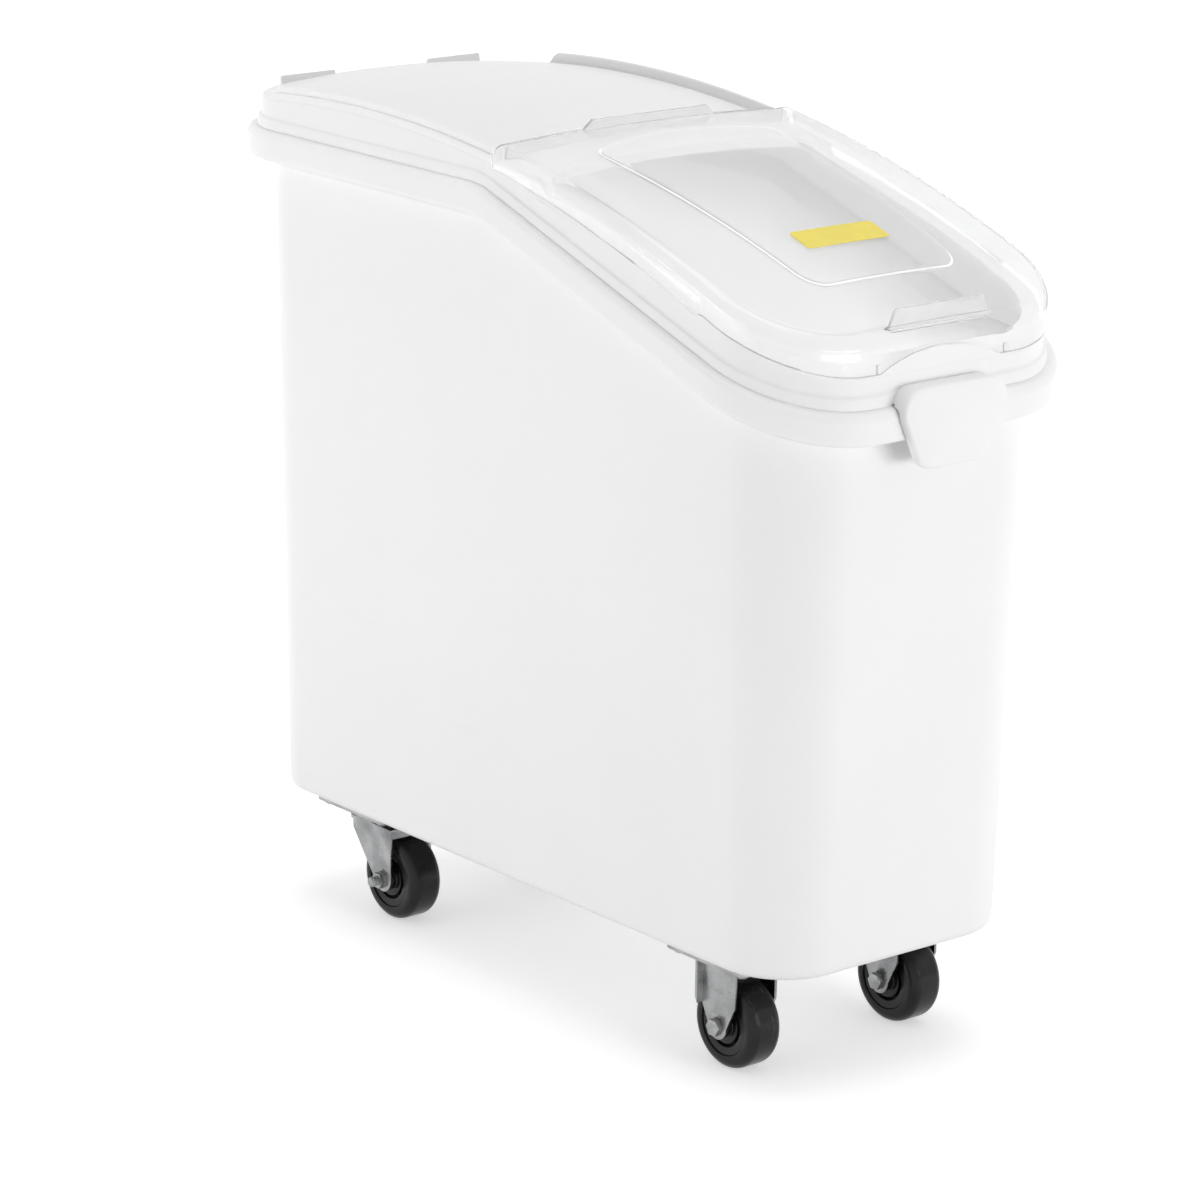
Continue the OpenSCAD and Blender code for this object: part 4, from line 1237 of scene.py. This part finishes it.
@dataclass
class SlidingLid:
    """The clear lid with its raised panel, lips, arched cut and blank label."""

    form: BinForm
    plate_t: float = 3.0
    crown_r: float = 2400.0
    shoulder_r: float = 11.0
    skirt_proud: float = 3.8
    skirt_ease: Spot = (0.5, 0.6)
    rear_drop: float = 13.0
    step_drop: float = 23.0
    bevel: float = 0.6
    step_back: float = 106.0
    step_run: float = 8.0
    lip_w: float = 104.0
    lip_h: float = 14.0
    lip_t: float = 3.0
    lip_set: float = 5.0
    lip_corner_r: float = 9.0
    lip_root: float = 5.0
    lip_edge: float = 1.0
    rear_lip_w: float = 138.0
    rear_lip_r: float = 1.4
    rear_lip_edge: float = 0.8
    hem_side_gap: float = 3.0
    hem_steps: int = 24
    panel_h: float = 1.2
    panel_rear_w: float = 194.0
    panel_front_w: float = 158.0
    panel_back: float = 48.0
    panel_fore: float = 62.0
    panel_bow: float = 17.0
    panel_front_r: float = 23.0
    panel_rear_r: float = 12.0
    panel_edge: float = 2.8
    slope_span: Spot = (0.1, 0.9)
    slope_steps: int = 6
    nib_w: float = 5.0
    nib_h: float = 8.0
    nib_t: float = 1.5
    nib_up: float = 1.0
    nib_r: float = 1.0
    nib_edge: float = 0.5
    tail: float = 60.0
    tail_r: float = 20.0
    label_w: float = 86.0
    label_l: float = 26.0
    label_t: float = 0.3
    label_gap: float = 0.05
    label_fore: float = 109.0
    label_r: float = 1.5
    line_steps: tuple[int, int, int] = (12, 12, 24)

    @property
    def half_w(self) -> float:
        """Half the width over the side skirts."""
        return self.form.face_half_w + self.skirt_proud

    @property
    def step_x(self) -> float:
        """Place of the step in the side skirts."""
        return self.form.lid_front_x - self.step_back

    def radius(self, y: float) -> float:
        """Arch radius of the crowned top at y."""
        return self.form.lid_top_r - y * y / (2 * self.crown_r)

    def surface(self, places: Sequence[Spot], drop: float) -> Ring:
        """Ring on the crowned top, lowered by drop."""
        return [(x, y, self.form.arc(x, self.radius(y) - drop)) for x, y in places]

    def skirt_drop(self, x: float) -> float:
        """Fall of the skirt's lower edge from the rail level at x."""
        f = self.form
        if x <= self.step_x:
            share = (x - f.lid_rear_x) / (self.step_x - f.lid_rear_x)
            return self.rear_drop + (self.step_drop - self.rear_drop) * share
        share = min(1.0, (x - self.step_x) / self.step_run)
        return self.step_drop + (f.deck_drop - f.rest_gap - self.step_drop) * share

    def edge_drop(self, x: float, inset: float) -> float:
        """Fall of the skirt's bevelled lower edge at a depth into its thickness."""
        outer = self.skirt_drop(x)
        inner = min(outer, self.form.deck_drop - self.form.rest_gap - self.bevel)
        return outer + (inner - outer) * inset / self.plate_t

    def lines(self) -> tuple[Line, Line]:
        """Outlines of the skirts and of the raised panel, with equal counts of points."""
        f, end_x = self.form, self.form.lid_front_x
        corner_r = f.front_r + f.face_o + f.front_proud
        stops = spread(end_x - corner_r, self.step_x + self.step_run, 2)
        stops += [self.step_x + self.step_run * k / 4 for k in range(4, -1, -1)]
        stops += spread(self.step_x, f.lid_rear_x, 28) + [f.lid_rear_x]
        tail_x, r_rear, r_front = f.lid_rear_x - self.tail, self.panel_rear_r, self.panel_front_r
        skirt = plan_line(tail_x, end_x, self.half_w, self.tail_r, corner_r, stops, *self.line_steps)
        rear, front = f.lid_rear_x + self.panel_back, end_x - self.panel_fore
        sides = spread(front - r_front, rear + r_rear, len(stops))
        flat = plan_line(rear, front, self.panel_rear_w / 2, r_rear, r_front, sides, *self.line_steps)
        panel: Line = []
        for x, y, nx, ny in flat:
            fore, wide = (x - rear) / (front - rear), 2 * y / self.panel_rear_w
            narrow = 1 + (self.panel_front_w / self.panel_rear_w - 1) * fore
            panel.append((x - self.panel_bow * (1 - wide * wide) * (1 - fore) ** 2, y * narrow, nx, ny))
        return skirt, panel

    def shell(self) -> Piece:
        """The crowned plate with its shoulders, skirts and panel, before the cuts."""
        f, r, t0 = self.form, self.shoulder_r, self.plate_t
        skirt, panel = self.lines()
        low, high = f.lid_rear_x + self.half_w / 2, f.lid_front_x - self.half_w / 2
        spine = [(max(low, min(high, p[0])), 0.0) for p in skirt]
        shoulder, inner_r = moved(skirt, -r), r - t0
        turns = [math.radians(90 - 90 * k / 8) for k in range(9)]
        rings = [self.surface(between(shoulder, spine, t), t0) for t in (0.97, 0.8, 0.6, 0.4, 0.2)]
        under = [(inner_r * math.cos(a) - r, r - inner_r * math.sin(a)) for a in turns]
        over = [(r * math.cos(a) - r, r - r * math.sin(a)) for a in reversed(turns)]
        rings += [self.surface(moved(skirt, o), drop) for o, drop in under]
        side, rise = self.skirt_ease
        for inset, up in ((t0, rise), (t0 - side, 0.0), (side, 0.0), (0.0, rise)):
            places = moved(skirt, -inset)
            rings.append([(x, y, f.arc(x, f.arch_r - self.edge_drop(x, inset) + up)) for x, y in places])
        rings += [self.surface(moved(skirt, o), drop) for o, drop in over]
        edge, inside = moved(panel, 0.0), moved(panel, -self.panel_edge)
        rings += [self.surface(between(shoulder, edge, t), 0.0) for t in (0.25, 0.5, 0.75, 0.94)]
        for t in (k / self.slope_steps for k in range(self.slope_steps + 1)):
            rings.append(self.surface(moved(panel, -self.panel_edge * t), -self.panel_h * ease(t)))
        shares = (0.06, 0.25, 0.5, 0.75, 0.97)
        rings += [self.surface(between(inside, spine, t), -self.panel_h) for t in shares]
        return Draft().loft(rings, End.BRIDGE).piece("sliding_lid_moulding")

    def front_lip(self) -> Draft:
        """The pull lip that stands up where the front shoulder begins."""
        f, w, r, h = self.form, self.lip_w / 2, self.lip_root, self.lip_h
        x, top = f.lid_front_x - self.lip_set, w - self.lip_corner_r
        z = f.arc(x, f.lid_top_r) - r
        outline = rounded_outline([(r - w, r), (w - r, r), (top, h), (-top, h)], r)
        return Draft().slab(outline, x - self.lip_t, x, self.lip_edge, lambda u, v, d: (d, u, z + v))

    def rear_lip(self) -> Draft:
        """The lip along the rear edge, with long sloped ends."""
        f, r, foot = self.form, self.rear_lip_r, self.rear_lip_w / 2 - self.rear_lip_r
        low, high = self.radius(self.rear_lip_w / 2) - self.plate_t / 2 + r, f.lid_top_r + f.rear_lip_h - r
        top, x = foot - f.rear_lip_h, f.lid_rear_x
        outline = rounded_outline([(-foot, low), (foot, low), (top, high), (-top, high)], r, 5)
        return Draft().slab(
            outline, x, x + self.plate_t, self.rear_lip_edge, lambda u, v, d: f.on_arch(d, u, v))

    def rear_hem(self) -> Draft:
        """The strip below the rear edge that closes the gap over the cover."""
        f, half, n = self.form, self.form.rail_in - self.hem_side_gap, self.hem_steps
        across = [half - 2 * half * k / n for k in range(n + 1)]
        outline = [(y, self.radius(y) - self.plate_t / 2) for y in across]
        outline += [(y, f.crown(y) + f.rest_gap) for y in reversed(across)]
        depths = (f.lid_rear_x, f.lid_rear_x + self.plate_t)
        return Draft().loft([[f.on_arch(x, y, q) for y, q in outline] for x in depths], End.FAN)

    def nib(self, sign: int) -> Draft:
        """A small stop block at one end of the arched cut."""
        f, base = self.form, self.form.skirt_z + self.nib_up
        mid = sign * (f.tongue_w + self.nib_w) / 2
        outline = rounded_box(mid, self.nib_w, base, base + self.nib_h, self.nib_r, 4)
        back, face = f.lid_front_x - self.plate_t / 2, f.lid_front_x + self.nib_t
        return Draft().slab(outline, back, face, self.nib_edge, lambda u, v, d: (d, u, v))

    def arch_cut(self) -> Draft:
        """The round-topped cut in the front skirt."""
        f, r = self.form, bow_radius(self.form.tongue_w, self.form.tongue_h)
        outline = arc_points((0.0, f.skirt_z + f.tongue_h - r), r, 45, 135, 96)
        depths = (f.lid_front_x - self.shoulder_r, f.lid_front_x + self.shoulder_r)
        return Draft().loft([[(x, y, z) for y, z in outline] for x in depths], End.FAN)

    def tail_cut(self) -> Draft:
        """The block that cuts the loft's tail off at the lid's rear edge."""
        f, w, reach = self.form, self.form.width, 2 * self.tail
        x0, x1 = f.lid_rear_x, f.lid_rear_x - reach
        plan, heights = ((x0, -w), (x0, w), (x1, w), (x1, -w)), (f.rim_z - f.rim_fall, f.height + reach)
        return Draft().loft([[(x, y, z) for x, y in plan] for z in heights], End.FAN)

    def mark_slope(self, lid: Piece) -> None:
        """Marks the slope round the raised panel for its painted highlight glow."""
        f, (low, high) = self.form, self.slope_span
        rear, front = f.lid_rear_x + self.panel_back / 2, f.lid_front_x - self.panel_fore / 2
        marks = []
        for vertex in lid.data.vertices:
            x, y, z = (co / MM for co in vertex.co)
            share = (math.hypot(x - f.arch_x, z - f.arch_z) - self.radius(y)) / self.panel_h
            marks.append(float(rear < x < front and low < share < high))
        mark_points(lid, PAINTED_EDGE_HIGHLIGHT, marks)

    def label(self) -> Draft:
        """The blank label, laid on the panel with its corners nipped off."""
        f, w, draft = self.form, self.label_w / 2, Draft()
        x1 = f.lid_front_x - self.label_fore
        x0 = x1 - self.label_l * math.cos(math.asin((x1 - f.arch_x) / f.lid_top_r))
        across = [(w * (k / 12), self.label_r if abs(k) == 12 else 0.0) for k in range(-12, 13)]
        plan = [(x1 - nip, y) for y, nip in across] + [(x0 + nip, y) for y, nip in reversed(across)]
        m, lift = len(plan), self.panel_h + self.label_gap
        for up in (lift, lift + self.label_t):
            draft.points += [f.on_arch(x, y, self.radius(y) + up) for x, y in plan]
        draft.faces = [(k, (k + 1) % m, m + (k + 1) % m, m + k) for k in range(m)]
        for a in range(len(across) - 1):
            b, c, d = a + 1, m - 2 - a, m - 1 - a
            draft.faces += [(m + a, m + b, m + c, m + d), (d, c, b, a)]
        return draft

    def build(self, finisher: Finisher) -> None:
        """Builds the lid and its label and dresses them.

        Args:
            finisher: Paints the pieces and fixes them to their body.
        """
        lid = self.shell()
        for room in (self.tail_cut(), self.arch_cut()):
            work(lid, room, Solid.CUT)
        for added in (self.front_lip(), self.rear_lip(), self.rear_hem(), self.nib(1), self.nib(-1)):
            work(lid, added, Solid.JOIN)
        soften(lid)
        self.mark_slope(lid)
        finisher.give(lid, "clear_plastic", "sliding_lid", "sliding_lid")
        finisher.give(self.label().piece("label_sticker"), "label", "sliding_lid", "blank_label")


@dataclass
class Casters:
    """The four casters with their screws: front pair rigid, rear pair swivelling."""

    form: BinForm
    track: float = 176.0
    front_x: float = 240.0
    rear_axle_x: float = -208.0
    lead: float = 28.0
    wheel_d: float = 75.0
    wheel_w: float = 32.0
    tread_r: float = 8.0
    tread_steps: int = 14
    tyre_lip: tuple[Spot, ...] = ((0.0, 0.8), (0.3, 0.2), (1.0, 0.0))
    seat_r: float = 26.0
    seat_ease: float = 0.6
    core_w: float = 29.5
    core_round: tuple[Spot, ...] = ((0.7, 0.0), (0.15, 0.2), (0.0, 0.8))
    web_t: float = 14.0
    web_lean: float = 0.5
    hub_w: float = 36.0
    hub_r: float = 10.0
    hub_round: tuple[Spot, ...] = ((0.6, 0.0), (0.15, 0.2), (0.0, 0.7))
    hub_fillet: tuple[Spot, ...] = ((0.4, -0.5), (1.0, 0.0))
    disc_r: float = 16.0
    ring_r: float = 19.0
    bore_r: float = 7.05
    leg_out: float = 22.5
    nut_h: float = 6.5
    thread_over: float = 7.0
    thread_end: float = 0.6
    thread_pitch: float = 1.25
    thread_ridge: float = 0.45
    thread_sink: float = 0.1
    axle_d: float = 8.0
    plate_th: float = 3.0
    bolt_l: float = 76.0
    bolt_w: float = 60.0
    screw_d: float = 6.0
    screw_steps: int = 24
    head_d: float = 13.0
    head_h: float = 4.0
    head_flat: float = 0.4
    washer_t: float = 1.2
    washer_d: float = 16.0
    washer_gap: float = 0.25
    washer_ease: float = 0.2
    washer_steps: int = 32
    screw_reach: float = 9.0
    race_r: float = 20.0
    race_drop: float = 5.0
    ball_d: float = 6.0
    ball_count: int = 12
    eased_w: float = 0.5
    eased_from: float = 35.0
    flat_within: float = 0.5

    @property
    def plate_z(self) -> float:
        """Underside of the top plates."""
        return self.form.caster_h - self.plate_th

    def screw_places(self) -> list[Spot]:
        """Places of the plate screws."""
        pin_x = self.rear_axle_x - self.lead
        middles = [(x, side.value * self.track / 2) for x in (self.front_x, pin_x) for side in Side]
        ways = [(sx * self.bolt_l / 2, sy * self.bolt_w / 2) for sx in (-1, 1) for sy in (-1, 1)]
        return [(x + dx, y + dy) for x, y in middles for dx, dy in ways]

    def tyre_profile(self) -> list[Spot]:
        """Section of a tyre: round shoulders and a flat tread."""
        r, w, s = self.wheel_d / 2, self.wheel_w / 2, self.tread_r
        points = [(self.seat_r + dr, dw - w) for dr, dw in self.tyre_lip]
        points += arc_points((r - s, s - w), s, -90, 0, self.tread_steps)
        points += arc_points((r - s, w - s), s, 0, 90, self.tread_steps)
        return points + [(self.seat_r + dr, w - dw) for dr, dw in reversed(self.tyre_lip)]

    def core_profile(self) -> list[Spot]:
        """Section of a wheel core: hub, disc, groove and rim, with round edges."""
        hub, face, web = -self.hub_w / 2, -self.core_w / 2, -self.web_t / 2
        half = [(self.bore_r, hub)] + [(self.hub_r - dr, hub + dw) for dr, dw in self.hub_round]
        half += [(self.hub_r + dr, face + dw) for dr, dw in self.hub_fillet]
        half += [(self.disc_r - dr, face + dw) for dr, dw in self.core_round]
        half += [(self.disc_r + self.web_lean, web), (self.ring_r - self.web_lean, web)]
        half += [(self.ring_r + dr, face + dw) for dr, dw in reversed(self.core_round)]
        half += [(self.seat_r - self.seat_ease, face), (self.seat_r, face + self.seat_ease)]
        return half + [(r, -w) for r, w in reversed(half)]

    def screw(self) -> Piece:
        """One domed plate screw, head down."""
        big, rim, shank = bow_radius(self.head_d, self.head_h), self.head_d / 2, self.screw_d / 2
        turns = spread(0.0, math.asin(rim / big), 6)
        section = [(self.head_flat, -self.head_h)]
        section += [(big * math.sin(a), big * (1 - math.cos(a)) - self.head_h) for a in turns]
        section += [(rim, 0.0), (shank, 0.0), (shank, self.washer_t + self.plate_th + self.screw_reach)]
        return Draft().loft(turned_rings(section, self.screw_steps), End.FAN).piece("screw_pattern")

    def washer(self) -> Piece:
        """One flat washer with eased edges."""
        out, hole = self.washer_d / 2, self.screw_d / 2 + self.washer_gap
        t, e = self.washer_t, self.washer_ease
        section = [(hole, 0.0), (out - e, 0.0), (out, e), (out, t - e), (out - e, t), (hole, t)]
        return Draft().loft(turned_rings(section, self.washer_steps), End.LOOP).piece("washer_pattern")

    def eased(self, node: str) -> Piece:
        """A copy of a pressed or forged CAD part with its sharp edges eased."""
        obj = new_piece(node + "_eased", frame["nodes"][node].data.copy())
        shape = bmesh.new()
        shape.from_mesh(obj.data)
        bmesh.ops.remove_doubles(shape, verts=shape.verts[:], dist=1e-6)
        flat = math.radians(self.flat_within)
        bmesh.ops.dissolve_limit(shape, angle_limit=flat, verts=shape.verts[:], edges=shape.edges[:])
        shape.to_mesh(obj.data)
        shape.free()
        change = obj.modifiers.new("ease", "BEVEL")
        change.width = self.eased_w * MM
        change.segments = 2
        change.limit_method = "ANGLE"
        change.angle_limit = math.radians(self.eased_from)
        change.use_clamp_overlap = True
        settle(obj)
        soften(obj)
        return obj

    def build(self, finisher: Finisher) -> None:
        """Builds the casters and dresses them.

        Args:
            finisher: Paints the pieces and fixes them to their bodies.
        """
        self.fasteners(finisher)
        turned, balls, threads = TurnedPiece(), BallRing(), ThreadTurns()
        slots = ("tread_rubber", "core_plastic", "zinc_plate")
        rubber, plastic, zinc = (finisher.materials[slot] for slot in slots)
        ends = (("front", self.front_x, 1), ("rear", self.rear_axle_x, -1))
        for (end, x, facing), side in ((each, side) for each in ends for side in Side):
            name = "%s_%s" % (end, side.name.lower())
            y, z = side.value * self.track / 2, self.wheel_d / 2
            wheel, holder = name + "_wheel", "base" if end == "front" else name + "_swivel"
            tyre = turned.make(name + "_tyre", self.tyre_profile(), (x, y, z), rubber)
            finisher.give(tyre, "tread_rubber", wheel, name + "_tread")
            core = turned.make(name + "_core", self.core_profile(), (x, y, z), plastic)
            finisher.give(core, "core_plastic", wheel, name + "_wheel_core")
            for part in ("_fork", "_axle_bolt", "_axle_nut"):
                finisher.give(self.eased(name + part), "zinc_plate", holder, name + part)
            start = metres((x, y + facing * (self.leg_out + self.nut_h), z))
            ridge = threads.run(
                name + "_axle_thread", bpy.data.meshes.new(name + "_host"), Place=start, Finish=zinc,
                Radius=(self.axle_d / 2 - self.thread_sink) * MM, Pitch=self.thread_pitch * MM,
                Length=(self.thread_over - self.thread_end) * MM, Ridge=self.thread_ridge * MM,
                Turn=(-facing * math.pi / 2, 0.0, 0.0))
            finisher.give(ridge, "zinc_plate", holder)
            if end == "rear":
                plate, race = name + "_top_plate", metres((x - self.lead, y, self.plate_z - self.race_drop))
                finisher.give(self.eased(plate), "zinc_plate", "base", plate)
                ring = balls.run(
                    name + "_balls", bpy.data.meshes.new(name + "_race_host"), Race_radius=self.race_r * MM,
                    Ball_radius=self.ball_d / 2 * MM, Count=self.ball_count, Place=race, Finish=zinc)
                finisher.give(ring, "zinc_plate", "base", name + "_race_balls")

    def fasteners(self, finisher: Finisher) -> None:
        """Builds the plate screws and washers.

        Args:
            finisher: Paints the pieces and fixes them to their body.
        """
        pattern, zinc = FittingPattern(), finisher.materials["zinc_plate"]
        places = [(x, y, self.plate_z - self.washer_t) for x, y in self.screw_places()]
        for name, fitting in (("plate_screw", self.screw), ("plate_washer", self.washer)):
            made = pattern.make(name + "_set", fitting(), places, zinc)
            finisher.give(made, "zinc_plate", "base", name + "s")


# Stage


@dataclass(frozen=True)
class Lamp:
    """A soft lamp: place and aim in metres, width and height, power in watts, and if it shows in gloss."""

    name: str
    place: Point
    aim: Point
    size: Spot
    power: float
    glare: bool

    def build(self) -> None:
        """Adds the lamp to the scene."""
        light = bpy.data.lights.new(self.name, "AREA")
        light.shape, light.energy = "RECTANGLE", self.power
        light.size, light.size_y = self.size
        obj = new_piece(self.name, light)
        obj.visible_glossy = self.glare
        obj.location = self.place
        obj.rotation_euler = (Vector(self.aim) - Vector(self.place)).to_track_quat("-Z", "Y").to_euler()


LAMPS = (
    Lamp("left_softbox", (-1.6, -4.4, 0.46), (0.0, 0.0, 0.4), (3.6, 0.9), 90.0, False),
    Lamp("front_softbox", (4.65, 0.8, 0.46), (0.0, 0.0, 0.4), (3.6, 0.9), 90.0, False),
    Lamp("top_softbox", (-0.1, 0.2, 3.4), (0.0, 0.0, 0.6), (2.4, 2.4), 34.0, True),
    Lamp("glint_lamp", (4.0, 1.1, 1.3), (0.0, 0.0, 0.3), (0.35, 0.35), 4.0, True),
)


@dataclass
class Studio:
    """White stage, soft lamps and the camera."""

    ambient: float = 0.62
    flag: Point = (0.72, -0.67, 0.15)
    flag_span: Spot = (0.35, 0.9)
    flag_share: float = 0.4
    white: Colour = (1, 1, 1, 1)
    floor_colour: Colour = (0.8, 0.8, 0.8, 1)
    floor_rough: float = 0.9
    floor_half: float = 9000.0
    floor_z: float = -0.2
    floor_span: Spot = (0.45, 1.3)
    floor_glow: Spot = (0.5, 1.0)
    target: Point = (0.1209, -0.1406, 0.3715)
    azimuth: float = 50.457
    elevation: float = 15.853
    roll: float = 0.8755
    distance: float = 3.8
    lens: float = 142.68
    sensor: float = 36.0
    sight: float = 60.0

    def build(self) -> None:
        """Sets the view, the world, the floor, the lamps and the camera."""
        bpy.context.scene.view_settings.view_transform = "Standard"
        self.world()
        self.floor()
        for lamp in LAMPS:
            lamp.build()
        self.camera()

    @staticmethod
    def seen(tree: Tree) -> Socket:
        """Value that is 1 for camera, glossy and transmission rays."""
        path = add_node(tree, "ShaderNodeLightPath").outputs
        last = path["Is Camera Ray"]
        for name in ("Is Glossy Ray", "Is Transmission Ray"):
            last = add_node(tree, "ShaderNodeMath", {0: last, 1: path[name]}, operation="MAXIMUM").outputs[0]
        return last

    def world(self) -> None:
        """Even light all round, less from the side of the front corner, seen as white."""
        world = bpy.data.worlds.new("studio_white")
        bpy.context.scene.world = world
        world.use_nodes = True
        tree = world.node_tree
        way = add_node(tree, "ShaderNodeTexCoord").outputs["Generated"]
        side = add_node(tree, "ShaderNodeVectorMath", {0: way, 1: self.flag}, operation="DOT_PRODUCT")
        ends = (self.ambient, self.ambient * self.flag_share)
        shade = smooth_range(tree, side.outputs["Value"], *self.flag_span, ends)
        level = add_node(tree, "ShaderNodeMapRange", {"Value": self.seen(tree), "To Min": shade})
        fill(tree, tree.nodes["Background"], {"Color": self.white, "Strength": level.outputs[0]})

    def floor(self) -> None:
        """A pale floor that keeps the bin's shadow and runs out to white."""
        h, z = self.floor_half, self.floor_z
        corners = [(-h, -h, z), (h, -h, z), (h, h, z), (-h, h, z)]
        floor = Draft(points=corners, faces=[(0, 1, 2, 3)]).piece("studio_floor")
        paint = bpy.data.materials.new("studio_floor")
        paint.use_nodes = True
        tree = paint.node_tree
        place = add_node(tree, "ShaderNodeTexCoord").outputs["Object"]
        reach = add_node(tree, "ShaderNodeVectorMath", {0: place}, operation="LENGTH").outputs["Value"]
        far = smooth_range(tree, reach, *self.floor_span, self.floor_glow)
        fill(tree, tree.nodes["Principled BSDF"], {
            "Base Color": self.floor_colour, "Roughness": self.floor_rough, "Specular IOR Level": 0.0,
            "Emission Color": self.white, "Emission Strength": product(tree, self.seen(tree), far)})
        floor.data.materials.append(paint)

    def camera(self) -> None:
        """Places the camera at the photograph's viewing angle."""
        a, e, r = (math.radians(v) for v in (self.azimuth, self.elevation, self.roll))
        back = Vector((math.sin(a) * math.cos(e), -math.cos(a) * math.cos(e), math.sin(e)))
        right = Vector((math.cos(a), math.sin(a), 0.0))
        up = back.cross(right)
        right, up = math.cos(r) * right + math.sin(r) * up, math.cos(r) * up - math.sin(r) * right
        view = bpy.data.cameras.new("photo_view")
        view.sensor_width, view.lens, view.clip_end = self.sensor, self.lens, self.sight
        obj = new_piece("photo_view", view)
        turn = Matrix((right, up, back)).transposed()
        obj.matrix_world = Matrix.Translation(Vector(self.target) + back * self.distance) @ turn.to_4x4()
        bpy.context.scene.camera = obj


def main() -> None:
    """Builds the sub-assemblies in order, then the stage."""
    logging.basicConfig(level=logging.INFO, format="%(name)s: %(message)s")
    form = BinForm()
    finisher = Finisher()
    finisher.carry()
    casters = Casters(form)
    Tub(form).build(finisher, casters.screw_places())
    LidFrame(form).build(finisher)
    SlidingLid(form).build(finisher)
    casters.build(finisher)
    Studio().build()


if __name__ == "__main__":
    main()
